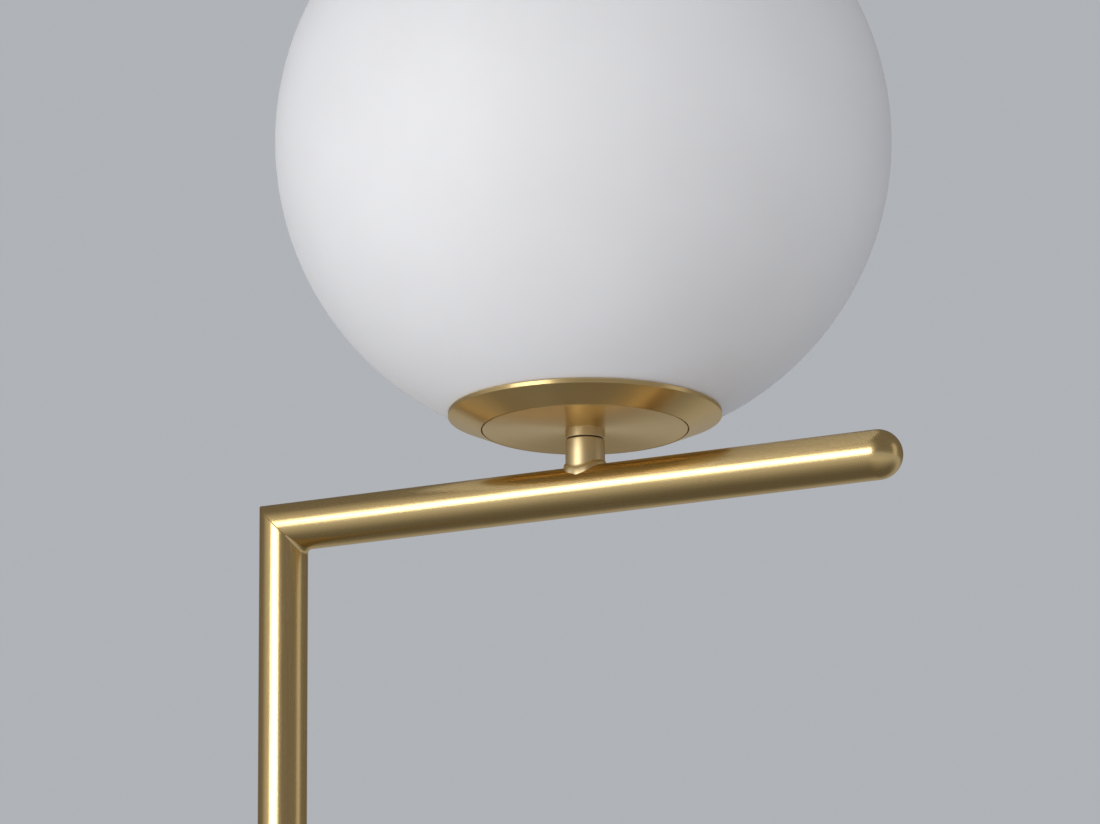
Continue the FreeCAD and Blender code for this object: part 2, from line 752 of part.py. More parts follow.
def make_arm():
    arm = new_body("arm_tube", HEAD)
    section = new_sketch(arm, "YZ_Plane", "-stem_offset - tube_radius")
    circle(section, "tube_radius")
    circle(section, "tube_bore")
    pad(arm, section, "stem_offset + arm_reach")
    away = "2 * tube_radius"
    corners = [
        ("-stem_offset - (%s)" % away, away),
        ("-stem_offset - (%s)" % away, "-(%s)" % away),
        ("-stem_offset + (%s)" % away, "-(%s)" % away),
    ]
    pocket(arm, outline(new_sketch(arm, "XZ_Plane"), corners), "4 * tube_radius", both_ways=True)
    hole = circle(new_sketch(arm, "XY_Plane"), "nipple_radius + arm_hole_gap")
    pocket(arm, hole, "2 * tube_radius", upwards=True)
    keep(arm)

    # The tip is half a ball with a spigot in the tube, turned from one piece and hollowed.
    tip = ("tip_centre", "0", "arm_height")
    ball = solid("Sphere", "tip_ball", {"Radius": "tube_radius", "Angle1": "0"}, tip, "0", "90")
    spigot_start = ("tip_centre - cap_spigot", "0", "arm_height")
    spigot_size = {"Radius": "plug_radius", "Height": "cap_spigot"}
    spigot = solid("Cylinder", "tip_spigot", spigot_size, spigot_start, "0", "90")
    hollow_size = {"Radius": "plug_radius - cap_wall", "Height": "cap_spigot + cap_wall"}
    hollow = solid("Cylinder", "tip_hollow", hollow_size, spigot_start, "0", "90")
    keep(cut("arm_end_cap", fuse("tip_outside", ball, spigot), hollow))

    # The boss is the upper segment of a bar that fits the bore, tapped for the nipple.
    bar = new_body("neck_boss_bar", HEAD)
    circle_sketch = circle(new_sketch(bar, "YZ_Plane"), "plug_radius")
    pad(bar, circle_sketch, "boss_length", both_ways=True)
    drill(bar, "entry_radius", [("0", "0")], "tube_radius", "2 * tube_radius")
    wide = "3 * tube_radius"
    below = solid(
        "Box",
        "neck_boss_below",
        {"Length": "2 * boss_length", "Width": wide, "Height": wide},
        ("-boss_length", "-1.5 * tube_radius", "arm_height + boss_floor - 3 * tube_radius"),
    )
    keep(cut("neck_boss", bar, below))


def make_neck():
    collar = washer("neck_collar_bar", "entry_radius", "neck_radius", "0", "seam_level", HEAD)
    parts.remove(collar)
    round_edges(collar, "Chamfer", "collar_edge", [("neck_radius", "seam_level")])
    crossing = solid(
        "Cylinder",
        "neck_saddle",
        {"Radius": "tube_radius", "Height": "4 * tube_radius"},
        ("-2 * tube_radius", "0", "arm_height"),
        "0",
        "90",
    )
    keep(cut("neck_lower_collar", collar, crossing))
    seam_top = "seam_level + seam_width"
    washer("neck_seam_washer", "entry_radius", "neck_radius - seam_depth", "seam_level", seam_top, HEAD)
    upper = washer("neck_upper_collar", "entry_radius", "neck_radius", seam_top, "disc_height", HEAD)
    round_edges(upper, "Chamfer", "collar_edge", [("neck_radius", seam_top)])
    nipple_top = "holder_bottom + holder_entry"
    washer("neck_nipple", "nipple_bore", "nipple_radius", "nipple_start", nipple_top, HEAD)


def make_head():
    disc = washer("disc_plate", "entry_radius", "disc_radius", "disc_height", "disc_top", HEAD)
    round_edges(disc, "Chamfer", "disc_edge", [("disc_radius", "disc_height")])
    washer("bayonet_spacer", "entry_radius", "spacer_radius", "disc_top", "bayonet_bottom", HEAD)

    plate = new_body("bayonet_plate", HEAD, "bayonet_turn")
    round_part = new_sketch(plate, "XY_Plane", "bayonet_bottom")
    circle(round_part, "bayonet_radius")
    circle(round_part, "entry_radius")
    pad(plate, round_part, "bayonet_thickness")
    lug = new_sketch(plate, "XY_Plane", "bayonet_bottom")
    sector(lug, "spacer_radius", "fixed_lug_radius", "fixed_lug_half_angle")
    around(plate, pad(plate, lug, "bayonet_thickness"), LUGS)
    pins = on_circle("stop_pin_circle", LUGS, "stop_pin_angle")
    drill(plate, "stop_pin_radius + thread_gap", pins, "bayonet_top", "2 * bayonet_thickness")
    keep(plate)
    turned = on_circle("stop_pin_circle", LUGS, "bayonet_turn + stop_pin_angle")
    steps = [("stop_pin_radius", "flange_bottom + bayonet_gap", "bayonet_top")]
    pegs("bayonet_stop_pins", turned, steps, HEAD)

    glide_inner = "glide_outer - glide_width"
    washer("glide_ring", glide_inner, "glide_outer", "disc_top", "flange_bottom", HEAD)
    washer(
        "head_washer", "entry_radius", "head_washer_radius", "bayonet_top", "head_washer_top", HEAD
    )
    nut = new_body("head_lock_nut", HEAD)
    hexagon = new_sketch(nut, "XY_Plane", "head_washer_top")
    outline(hexagon, on_circle("head_nut_flats / sqrt(3)", 6))
    circle(hexagon, "entry_radius")
    pad(nut, hexagon, "head_nut_height")
    keep(nut)


def make_globe_unit():
    """The dish ring, and the glass held on it between two gaskets by a clamp ring."""
    dish = lathe(
        "dish_ring",
        [
            ("lug_inner", "flange_bottom"),
            ("dish_inner", "flange_bottom"),
            ("dish_inner", "disc_height"),
            ("dish_rim_radius", "rim_low"),
            ("dish_rim_radius", "rim_top"),
            ("dish_rim_radius - dish_rim_land", "rim_top"),
            ("seat_outer", "seat_outer_level"),
            ("seat_inner", "seat_inner_level"),
            ("seat_inner", "flange_top"),
            ("lug_inner", "flange_top"),
        ],
        HEAD,
        "bayonet_turn",
    )
    round_edges(dish, "Fillet", "rim_edge", [("dish_rim_radius", "rim_top")])
    gap = new_sketch(dish, "XY_Plane", "flange_top")
    sector(gap, "spacer_radius", "flange_inner", "(bayonet_turn - moving_lug_half_angle)")
    around(dish, pocket(dish, gap, "2 * flange_thickness"), LUGS)
    screws = on_circle("clamp_screw_circle", LUGS, "-bayonet_turn")
    thread = "clamp_screw_radius + thread_gap"
    drill(dish, thread, screws, "flange_top", "2 * flange_thickness")

    def seat(radius):
        return "seat_inner_level + seat_slope * (%s - seat_inner)" % radius

    def below_glass(radius, sphere):
        return "globe_centre - sqrt(%s^2 - %s^2)" % (sphere, radius)

    lathe(
        "globe_gasket",
        [
            ("gasket_inner", seat("gasket_inner") + " + gasket_seat_gap"),
            ("gasket_outer", seat("gasket_outer") + " + gasket_seat_gap"),
            ("gasket_outer", below_glass("gasket_outer", "gasket_sphere")),
            ("gasket_inner", below_glass("gasket_inner", "gasket_sphere")),
        ],
        HEAD,
    )

    middle = ("0", "0", "arm_height + globe_centre")
    outside = solid("Sphere", "globe_outside", {"Radius": "globe_radius"}, middle)
    inside = solid("Sphere", "globe_inside", {"Radius": "globe_inner"}, middle)
    mouth_size = {"Radius": "mouth_radius", "Height": "globe_centre"}
    mouth = solid("Cylinder", "globe_mouth", mouth_size, HEAD)
    keep(cut("glass_globe", cut("globe_shell", outside, inside), mouth))

    def clamp_seat(radius):
        return "clamp_bend_level + clamp_slope * (%s - clamp_bend)" % radius

    lathe(
        "clamp_gasket",
        [
            ("clamp_gasket_inner", below_glass("clamp_gasket_inner", "clamp_gasket_sphere")),
            ("clamp_gasket_outer", below_glass("clamp_gasket_outer", "clamp_gasket_sphere")),
            ("clamp_gasket_outer", clamp_seat("clamp_gasket_outer")),
            ("clamp_gasket_inner", clamp_seat("clamp_gasket_inner")),
        ],
        HEAD,
    )
    clamp = lathe(
        "clamp_ring",
        [
            ("clamp_inner", "clamp_bottom"),
            ("clamp_bend", "clamp_bottom"),
            ("clamp_bend", "clamp_bend_level"),
            ("clamp_outer", "clamp_outer_level"),
            ("clamp_outer", "clamp_outer_level + clamp_thickness"),
            ("clamp_bend", "clamp_bend_level + clamp_thickness"),
            ("clamp_bend - clamp_wall", "clamp_screw_seat"),
            ("clamp_inner", "clamp_screw_seat"),
        ],
        HEAD,
    )
    clear = "clamp_screw_radius + screw_clearance"
    world_screws = on_circle("clamp_screw_circle", LUGS)
    drill(clamp, clear, world_screws, "clamp_screw_seat", "2 * clamp_thickness")
    steps = [("clamp_screw_radius", "flange_bottom + clamp_screw_stop", "clamp_screw_seat")]
    head_top = "clamp_screw_seat + clamp_screw_head_height"
    steps.append(("clamp_screw_head", "clamp_screw_seat", head_top))
    pegs("clamp_screws", world_screws, steps, HEAD)


def make_lampholder():
    lathe(
        "holder_cap",
        [
            ("entry_radius", "holder_bottom"),
            ("holder_radius", "holder_bottom"),
            ("holder_radius", "insert_top"),
            ("holder_bore", "insert_top"),
            ("holder_bore", "insert_bottom"),
            ("holder_bore - ledge_width", "insert_bottom"),
            ("holder_bore - ledge_width", "holder_bottom + holder_floor"),
            ("entry_radius", "holder_bottom + holder_floor"),
        ],
        HEAD,
    )
    insert_radius = "holder_bore - insert_gap"
    insert = lathe(
        "holder_insert",
        [
            ("0", "insert_bottom"),
            (insert_radius, "insert_bottom"),
            (insert_radius, "insert_top"),
            ("0", "insert_top"),
        ],
        HEAD,
    )
    screw_spots = [("0", side + "holder_screw_spread") for side in ("-", "")]
    well = "holder_screw_radius + thread_gap"
    well_top = "insert_bottom + holder_screw_length - holder_screw_rise"
    drill(insert, well, screw_spots, well_top, "holder_screw_length")
    head = "insert_bottom - holder_screw_rise"
    steps = [("holder_screw_radius", head, well_top + " - thread_gap")]
    pegs("holder_terminal_screws", screw_spots, steps, HEAD)
    shell_top = "insert_top + shell_height"
    washer("holder_screw_shell", "shell_bore", "shell_radius", "insert_top", shell_top, HEAD)
    barrel_top = "insert_top + barrel_height"
    barrel_bore = "shell_radius + shell_gap"
    barrel = washer("holder_barrel", barrel_bore, "holder_radius", "insert_top", barrel_top, HEAD)
    round_edges(barrel, "Fillet", "shell_gap", [("holder_radius", barrel_top)])

    # The centre contact is a bent tongue: a foot on the insert, a slope and a raised flat end.
    tongue = new_body("holder_centre_contact", HEAD)
    start = "-tongue_length / 2"
    end = "tongue_length / 2 - tongue_short"
    foot_end = start + " + tongue_foot"
    top = "insert_top + tongue_height"
    side_view = [
        (start, "insert_top"),
        (foot_end, "insert_top"),
        ("tongue_bend", top + " - tongue_metal"),
        (end, top + " - tongue_metal"),
        (end, top),
        ("tongue_bend - tongue_metal", top),
        (foot_end, "insert_top + tongue_metal"),
        (start, "insert_top + tongue_metal"),
    ]
    pad(tongue, outline(new_sketch(tongue, "XZ_Plane"), side_view), "tongue_width", both_ways=True)
    keep(tongue)


def make_bulb():
    """A screw-in bulb with straight filaments round a glass stem."""
    bottom, cap_bottom, cap_top = "insulator_bottom", "bulb_cap_bottom", "bulb_cap_top"
    washer("bulb_cap", "bulb_neck_radius", "bulb_cap_radius", cap_bottom, cap_top, HEAD)
    contact = [("0", "bulb_bottom"), ("bulb_contact_radius - bulb_contact_edge", "bulb_bottom")]
    contact += [("bulb_contact_radius", bottom), ("0", bottom)]
    lathe("bulb_contact", contact, HEAD)
    lathe(
        "bulb_cap_insulator",
        [
            ("0", bottom),
            ("bulb_contact_radius + bulb_contact_edge", bottom),
            ("bulb_cap_radius", cap_bottom),
            ("0", cap_bottom),
        ],
        HEAD,
    )
    centre = ("0", "0", "arm_height + bulb_centre")
    neck_start = "bulb_cap_top - bulb_neck_depth"
    start = ("0", "0", "arm_height + " + neck_start)
    shoulder = ("0", "0", "arm_height + bulb_cap_top")

    def bulb_form(name, wall):
        """A ball on a flank that narrows to the neck in the cap, all smaller by a wall."""
        ball = solid("Sphere", name + "_ball", {"Radius": "bulb_radius - " + wall}, centre)
        neck = {"Radius": "bulb_neck_radius - " + wall, "Height": "bulb_neck_depth"}
        flank = {"Radius1": "bulb_neck_radius - " + wall, "Radius2": "bulb_flank_radius - " + wall}
        flank["Height"] = "bulb_flank_top - bulb_cap_top"
        upper = fuse(name + "_upper", ball, solid("Cone", name + "_flank", flank, shoulder))
        return fuse(name, upper, solid("Cylinder", name + "_neck", neck, start))

    keep(cut("bulb_glass", bulb_form("bulb_outside", "0"), bulb_form("bulb_inside", "bulb_wall")))
    foot = "bulb_neck_radius - bulb_wall"
    foot_top = neck_start + " + bulb_foot_height"
    lathe(
        "bulb_stem",
        [
            ("0", neck_start),
            (foot, neck_start),
            (foot, foot_top),
            ("bulb_stem_radius", foot_top + " + bulb_flare_height"),
            ("bulb_stem_radius", "lower_disc"),
            ("bulb_disc_radius", "lower_disc"),
            ("bulb_disc_radius", "filament_bottom"),
            ("bulb_stem_radius", "filament_bottom"),
            ("bulb_stem_radius", "filament_top"),
            ("bulb_disc_radius", "filament_top"),
            ("bulb_disc_radius", "filament_top + bulb_disc_thickness"),
            ("0", "filament_top + bulb_disc_thickness"),
        ],
        HEAD,
    )
    steps = [("filament_radius", "filament_bottom", "filament_top")]
    pegs("bulb_filaments", on_circle("filament_circle", FILAMENTS), steps, HEAD)


def rounded_path(points, radii):
    """Straight runs through points, each inner corner replaced by a tangent arc of its radius."""
    points = [FreeCAD.Vector(*point) for point in points]
    edges = []
    start = points[0]
    for before, corner, after, radius in zip(points, points[1:], points[2:], radii):
        into = (corner - before).normalize()
        out = (after - corner).normalize()
        turn = into.getAngle(out)
        setback = radius * math.tan(turn / 2)
        enter = corner - into * setback
        leave = corner + out * setback
        inward = (out - into).normalize()
        centre = corner + inward * (radius / math.cos(turn / 2))
        edges.append(Part.LineSegment(start, enter).toShape())
        edges.append(Part.Arc(enter, centre - inward * radius, leave).toShape())
        start = leave
    edges.append(Part.LineSegment(start, points[-1]).toShape())
    return Part.Wire(edges)


def make_flex():
    """The flex from the terminal block through stem, arm and neck to the lampholder's insert."""
    stem_x = -number("stem_offset")
    block_x = number("block_x")
    arm_z = number("arm_height")
    low = number("flex_low")
    back = stem_x - number("flex_stem_shift")
    run = arm_z - number("flex_arm_drop")
    plug_top = number("base_height + foot_plug_length")
    block_face = number("block_along - block_length / 2")
    points = [
        (block_x, block_face, low),
        (block_x, 0, low),
        (stem_x, 0, low),
        (stem_x, 0, plug_top),
        (back, 0, run),
        (0, 0, run),
        (0, 0, arm_z + number("insert_bottom")),
    ]
    side, base = number("flex_side_bend"), number("flex_base_bend")
    lean = number("flex_lean_bend")
    radii = [side, base, lean, number("flex_corner_bend"), number("flex_neck_bend")]
    path = rounded_path(points, radii)
    section = Part.Circle(FreeCAD.Vector(*points[0]), FreeCAD.Vector(0, 1, 0), number("flex_radius"))
    tube = path.makePipeShell([Part.Wire([section.toShape()])], True, False)
    expected = math.pi * number("flex_radius") ** 2 * path.Length
    print("flex: length %.1f mm, bends %s mm" % (path.Length, radii))
    if abs(tube.Volume - expected) > expected / 100:
        raise RuntimeError("internal_flex: volume %.0f, not %.0f" % (tube.Volume, expected))
    flex = doc.addObject("Part::Feature", "internal_flex")
    flex.Label = "internal_flex"
    flex.Shape = tube
    flex.Placement = FreeCAD.Placement()
    keep(flex)


def check_document():
    for thing in doc.Objects:
        if "Invalid" in thing.State or "Error" in thing.State:
            raise RuntimeError("%s failed: %s" % (thing.Label, thing.State))
    for part in parts:
        if part.Shape.isNull() or not part.Shape.isValid() or not part.Shape.Solids:
            raise RuntimeError(part.Label + " has no valid solid")


def export():
    os.makedirs("parts", exist_ok=True)
    for part in parts:
        part.Shape.exportStep("parts/%s.step" % part.Label)
    print("%d parts written" % len(parts))


fill_sheets()
make_base()
make_terminal_block()
make_stem()
make_arm()
make_neck()
make_head()
make_globe_unit()
make_lampholder()
make_bulb()
make_flex()
doc.recompute()
check_document()
export()
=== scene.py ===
import math

import bpy
import numpy as np
from mathutils import Matrix, Vector


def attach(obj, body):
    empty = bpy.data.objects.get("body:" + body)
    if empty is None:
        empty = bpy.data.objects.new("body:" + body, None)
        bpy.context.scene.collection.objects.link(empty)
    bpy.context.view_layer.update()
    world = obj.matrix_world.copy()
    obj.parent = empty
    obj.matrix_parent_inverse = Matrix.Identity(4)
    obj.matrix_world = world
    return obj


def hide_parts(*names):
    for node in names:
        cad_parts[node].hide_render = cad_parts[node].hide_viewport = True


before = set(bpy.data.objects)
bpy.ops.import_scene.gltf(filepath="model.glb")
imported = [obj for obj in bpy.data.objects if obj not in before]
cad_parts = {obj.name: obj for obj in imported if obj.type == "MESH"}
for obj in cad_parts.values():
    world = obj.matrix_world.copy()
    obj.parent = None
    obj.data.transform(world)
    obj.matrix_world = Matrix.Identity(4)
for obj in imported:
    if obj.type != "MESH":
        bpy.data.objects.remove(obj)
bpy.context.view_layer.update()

# A globe floor lamp: opal glass on a brass dish, a horizontal arm and an upright stem on a round base.
# Lengths below are in millimetres and made metres by MM; heights count from the floor.
MM = 0.001
TAU = 2.0 * math.pi
HOLD = 0.3  # place of the support point beside an arc, as a share of its radius

# Tube of the stem and the arm
TUBE = 12.0
BORE = 10.5
STEM_X = -166.0
ARM_Z = 1525.0
TIP_X = 154.0  # centre of the arm's round tip
JOINT_Z = 770.0  # seam in the middle of the stem
# Neck
NECK = 9.55
ENTRY = 5.05
SEAM_Z = ARM_Z + 24.8
SEAM = 0.6
# Disc and dish
DISC_Z = ARM_Z + 30.1
DISC_TOP = ARM_Z + 31.6
DISC = 49.6
FLANGE_LOW = ARM_Z + 32.3
FLANGE_TOP = ARM_Z + 34.3
DISH_INNER = 50.2
SEAT_INNER = 51.4
SEAT_INNER_Z = ARM_Z + 32.76
SEAT_OUTER = 64.9
SEAT_OUTER_Z = ARM_Z + 38.41
RIM = 66.1
RIM_LOW = ARM_Z + 36.83
RIM_TOP = ARM_Z + 39.13
LUG_INNER = 41.0
FLANGE_INNER = 44.5
LUG_ANGLE = 14.5
# Globe
GLOBE_Z = ARM_Z + 174.638
GLOBE = 150.0
GLOBE_WALL = 3.0
MOUTH = 52.0
# Lampholder
HOLDER = 19.5
HOLDER_TOP = ARM_Z + 61.0  # where its barrel meets its cap
# Base
BASE = 185.0
BASE_TOP = 20.0
COVER_WALL = 1.2
COVER_LOW = 2.0
INLET_ANGLE = 150.0
INLET_Z = 9.2
INLET_HOLE = 5.05
INLET_BORE = 3.6
INLET_BODY = 4.9
INLET_FLANGE = 5.8


# Profiles: closed or open lines of (radius, height) corners, some of them rounded.


def rounded(corners, radii, closed=True, step=0.12):
    """Corners joined by straight lines, each corner replaced by an arc tangent to both its lines."""
    count = len(corners)
    points = []
    for i, (corner, radius) in enumerate(zip(corners, radii)):
        here = np.array(corner, float)
        if radius <= 0 or (not closed and i in (0, count - 1)):
            points.append(here[None])
            continue
        before = np.array(corners[i - 1], float) - here
        after = np.array(corners[(i + 1) % count], float) - here
        u, v = before / np.hypot(*before), after / np.hypot(*after)
        half = 0.5 * math.acos(float(np.clip(u @ v, -1.0, 1.0)))
        reach = radius / math.tan(half)
        middle = here + (u + v) / np.hypot(*(u + v)) * radius / math.sin(half)
        start, end = here + u * reach - middle, here + v * reach - middle
        a0, a1 = math.atan2(start[1], start[0]), math.atan2(end[1], end[0])
        turn = (a1 - a0 + math.pi) % TAU - math.pi
        arc = a0 + turn * np.linspace(0.0, 1.0, max(4, int(abs(turn) / step)))
        bend = middle + radius * np.stack([np.cos(arc), np.sin(arc)], 1)
        hold = HOLD * radius  # a point this far beside each end keeps the shading of the flats flat
        points.append(np.concatenate([[bend[0] + hold * u], bend, [bend[-1] + hold * v]]))
    return np.concatenate(points)


def split(profile, closed, longest):
    """The profile with extra points, so that no straight piece of it is longer than longest."""
    following = np.roll(profile, -1, 0) if closed else profile[1:]
    starts = profile if closed else profile[:-1]
    parts = []
    for a, b in zip(starts, following):
        n = max(1, int(math.ceil(np.hypot(*(b - a)) / longest)))
        parts.append(a + (b - a) * (np.arange(n) / n)[:, None])
    if not closed:
        parts.append(profile[-1:])
    return np.concatenate(parts)


def angles(count):
    return np.arange(count) * TAU / count


def arc_points(radius, start, end, count, centre_z):
    """Points (radius, height) on a circle about the axis, from the angle start to end above level."""
    a = np.radians(np.linspace(start, end, count))
    return np.stack([radius * np.cos(a), centre_z + radius * np.sin(a)], 1)


# Surfaces: a grid of points, rows along the profile and columns around the axis. Edges that turn by
# more than these degrees stay sharp. The dish is CRISP, pieces with blends or flutes are SOFT and the
# screw cap is ROLLED.
CRISP, USUAL, SOFT, ROLLED = 30.0, 38.0, 50.0, 60.0


def grid_faces(rows, columns, loop_rows):
    """The quads of a grid whose columns close on themselves, and its rows too where loop_rows."""
    r = np.arange(rows if loop_rows else rows - 1)[:, None]
    c = np.arange(columns)[None]
    low, high = r * columns, (r + 1) % rows * columns
    right = (c + 1) % columns
    return np.stack([low + c, low + right, high + right, high + c], -1).reshape(-1, 4)


def mesh_piece(name, points, quads, fans=(), sharp=USUAL):
    """A closed mesh of quads and triangles in millimetres, turned so that its faces look outwards."""
    points = np.asarray(points, float)
    fans = np.asarray(fans, int).reshape(-1, 3)
    triangles = np.concatenate([quads[:, [0, 1, 2]], quads[:, [0, 2, 3]], fans])
    middle = points.mean(0)
    a, b, c = (points[triangles[:, i]] - middle for i in range(3))
    if np.einsum("ij,ij->i", a, np.cross(b, c)).sum() < 0:
        quads, fans = quads[:, ::-1], fans[:, ::-1]
    mesh = bpy.data.meshes.new(name)
    mesh.vertices.add(len(points))
    mesh.vertices.foreach_set("co", (points * MM).astype(np.float32).ravel())
    mesh.loops.add(4 * len(quads) + 3 * len(fans))
    corners = np.concatenate([quads.ravel(), fans.ravel()])
    mesh.loops.foreach_set("vertex_index", corners.astype(np.int32))
    sizes = np.concatenate([np.full(len(quads), 4), np.full(len(fans), 3)])
    mesh.polygons.add(len(sizes))
    mesh.polygons.foreach_set("loop_start", (np.cumsum(sizes) - sizes).astype(np.int32))
    mesh.polygons.foreach_set("use_smooth", np.ones(len(sizes), bool))
    mesh.update(calc_edges=True)
    mesh.validate()
    mesh.set_sharp_from_angle(angle=math.radians(sharp))
    piece = bpy.data.objects.new(name, mesh)
    bpy.context.scene.collection.objects.link(piece)
    return piece


def ring_points(radius, height, around, axis="z", centre=(0.0, 0.0, 0.0)):
    """Point = centre + height along the axis + radius across it at the angle around; arrays broadcast."""
    radius, height, around = np.broadcast_arrays(radius, height, around)
    one, two = radius * np.cos(around), radius * np.sin(around)
    order = {"z": (one, two, height), "x": (height, one, two)}[axis]
    return np.stack(order, -1) + np.array(centre)


def surface(name, grid, closed, sharp=USUAL):
    """A grid of points (rows, columns, 3) made a closed mesh: a loop of rows, or a pole at each end."""
    rows, columns = grid.shape[:2]
    if closed:
        return mesh_piece(name, grid.reshape(-1, 3), grid_faces(rows, columns, True), (), sharp)
    inner = grid[1:-1]
    count = (rows - 2) * columns
    points = np.concatenate([inner.reshape(-1, 3), grid[0].mean(0)[None], grid[-1].mean(0)[None]])
    c = np.arange(columns)
    right = (c + 1) % columns
    first = np.stack([np.full(columns, count), right, c], 1)
    base = (rows - 3) * columns
    last = np.stack([np.full(columns, count + 1), base + c, base + right], 1)
    quads = grid_faces(rows - 2, columns, False)
    return mesh_piece(name, points, quads, np.concatenate([first, last]), sharp)


def turned(name, profile, closed=True, columns=192, axis="z", centre=(0.0, 0.0, 0.0), sharp=USUAL):
    """Radius and height follow the profile by row, and the angle goes once round by column."""
    grid = ring_points(profile[:, :1], profile[:, 1:], angles(columns)[None], axis, centre)
    return surface(name, grid, closed, sharp)


def fit(piece, body, slot, material, *nodes):
    """Give a piece its material and its body, and hide the nodes that it stands for. The slot is not used."""
    piece.data.materials.clear()
    piece.data.materials.append(material)
    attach(piece, body)
    if nodes:
        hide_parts(*nodes)
    return piece


# Materials


def new_material(name):
    material = bpy.data.materials.new(name)
    material.use_nodes = True
    tree = material.node_tree
    shader = tree.nodes["Principled BSDF"]
    return material, tree, shader


def node(tree, kind, **inputs):
    made = tree.nodes.new(kind)
    for key, value in inputs.items():
        made.inputs[key.replace("_", " ")].default_value = value
    return made


def place_coords(tree, scale=(1.0, 1.0, 1.0), location=(0.0, 0.0, 0.0)):
    """Object coordinates, in metres, moved and then stretched for a pattern."""
    coords = tree.nodes.new("ShaderNodeTexCoord")
    mapping = tree.nodes.new("ShaderNodeMapping")
    mapping.inputs["Scale"].default_value = scale
    mapping.inputs["Location"].default_value = location
    tree.links.new(coords.outputs["Object"], mapping.inputs["Vector"])
    return mapping.outputs["Vector"]


def polar_coords(tree, across, along):
    """Distance from the Z axis times across, height times along, for marks that run round the axis."""
    coords = tree.nodes.new("ShaderNodeTexCoord")
    parts = tree.nodes.new("ShaderNodeSeparateXYZ")
    tree.links.new(coords.outputs["Object"], parts.inputs[0])
    flat = tree.nodes.new("ShaderNodeCombineXYZ")
    tree.links.new(parts.outputs["X"], flat.inputs["X"])
    tree.links.new(parts.outputs["Y"], flat.inputs["Y"])
    length = tree.nodes.new("ShaderNodeVectorMath")
    length.operation = "LENGTH"
    tree.links.new(flat.outputs[0], length.inputs[0])
    out = tree.nodes.new("ShaderNodeCombineXYZ")
    scales = ((length.outputs["Value"], "X", across), (parts.outputs["Z"], "Y", along))
    for source, target, factor in scales:
        scaled = tree.nodes.new("ShaderNodeMath")
        scaled.operation = "MULTIPLY"
        scaled.inputs[1].default_value = factor
        tree.links.new(source, scaled.inputs[0])
        tree.links.new(scaled.outputs[0], out.inputs[target])
    return out.outputs[0]


def noise(tree, vector, scale, detail=2.0, roughness=0.5):
    made = node(tree, "ShaderNodeTexNoise", Scale=scale, Detail=detail, Roughness=roughness)
    tree.links.new(vector, made.inputs["Vector"])
    return made.outputs["Fac"]


def spread(tree, value, low, high, start=0.3, end=0.7):
    """A value from start to end mapped to low to high."""
    made = tree.nodes.new("ShaderNodeMapRange")
    for key, number in (("From Min", start), ("From Max", end), ("To Min", low), ("To Max", high)):
        made.inputs[key].default_value = number
    tree.links.new(value, made.inputs["Value"])
    return made.outputs["Result"]


def blend_colours(tree, value, one, two):
    ramp = tree.nodes.new("ShaderNodeValToRGB")
    ramp.color_ramp.elements[0].position = 0.3
    ramp.color_ramp.elements[1].position = 0.7
    ramp.color_ramp.elements[0].color = (*one, 1.0)
    ramp.color_ramp.elements[1].color = (*two, 1.0)
    tree.links.new(value, ramp.inputs["Fac"])
    return ramp.outputs["Color"]


def bump(tree, shader, value, strength, distance):
    made = node(tree, "ShaderNodeBump", Strength=strength, Distance=distance)
    tree.links.new(value, made.inputs["Height"])
    tree.links.new(made.outputs["Normal"], shader.inputs["Normal"])


QUARTER_TURN = 0.25
BRASS_DARK = (0.775, 0.570, 0.265)
BRASS_PALE = (0.825, 0.615, 0.295)
COLLAR_DARK = (0.83, 0.655, 0.36)
COLLAR_PALE = (0.87, 0.70, 0.41)
BRASS_EDGE_TINT = (0.82, 0.78, 0.72, 1.0)
FINE, COARSE = 1500.0, 25.0  # brush marks to the metre across the strokes and along them
RINGS = 2600.0  # turning marks to the metre


def brass(name, marks, rough, stretch, dark=BRASS_DARK, pale=BRASS_PALE):
    """Lacquered brass: slow drifts of colour and gloss, and fine marks left by the brushing.

    Stretch is how far a highlight spreads across marks that run round the object's Z axis."""
    material, tree, shader = new_material(name)
    shader.inputs["Metallic"].default_value = 1.0
    cloud = noise(tree, place_coords(tree), scale=9.0, detail=3.0)
    colour = blend_colours(tree, cloud, dark, pale)
    tree.links.new(colour, shader.inputs["Base Color"])
    streaks = noise(tree, marks(tree), scale=1.0, detail=4.0, roughness=0.65)
    tree.links.new(spread(tree, streaks, *rough), shader.inputs["Roughness"])
    bump(tree, shader, streaks, strength=0.5, distance=0.00001)
    shader.inputs["Specular Tint"].default_value = BRASS_EDGE_TINT
    if stretch:
        round_axis = tree.nodes.new("ShaderNodeTangent")
        round_axis.direction_type = "RADIAL"
        round_axis.axis = "Z"
        tree.links.new(round_axis.outputs["Tangent"], shader.inputs["Tangent"])
        shader.inputs["Anisotropic"].default_value = stretch
        shader.inputs["Anisotropic Rotation"].default_value = QUARTER_TURN
    return material


def marks_round_stem(tree):
    return place_coords(tree, (FINE, FINE, COARSE))


def marks_along_arm(tree):
    return place_coords(tree, (COARSE, FINE, FINE))


def marks_in_rings(tree):
    return polar_coords(tree, RINGS, RINGS)


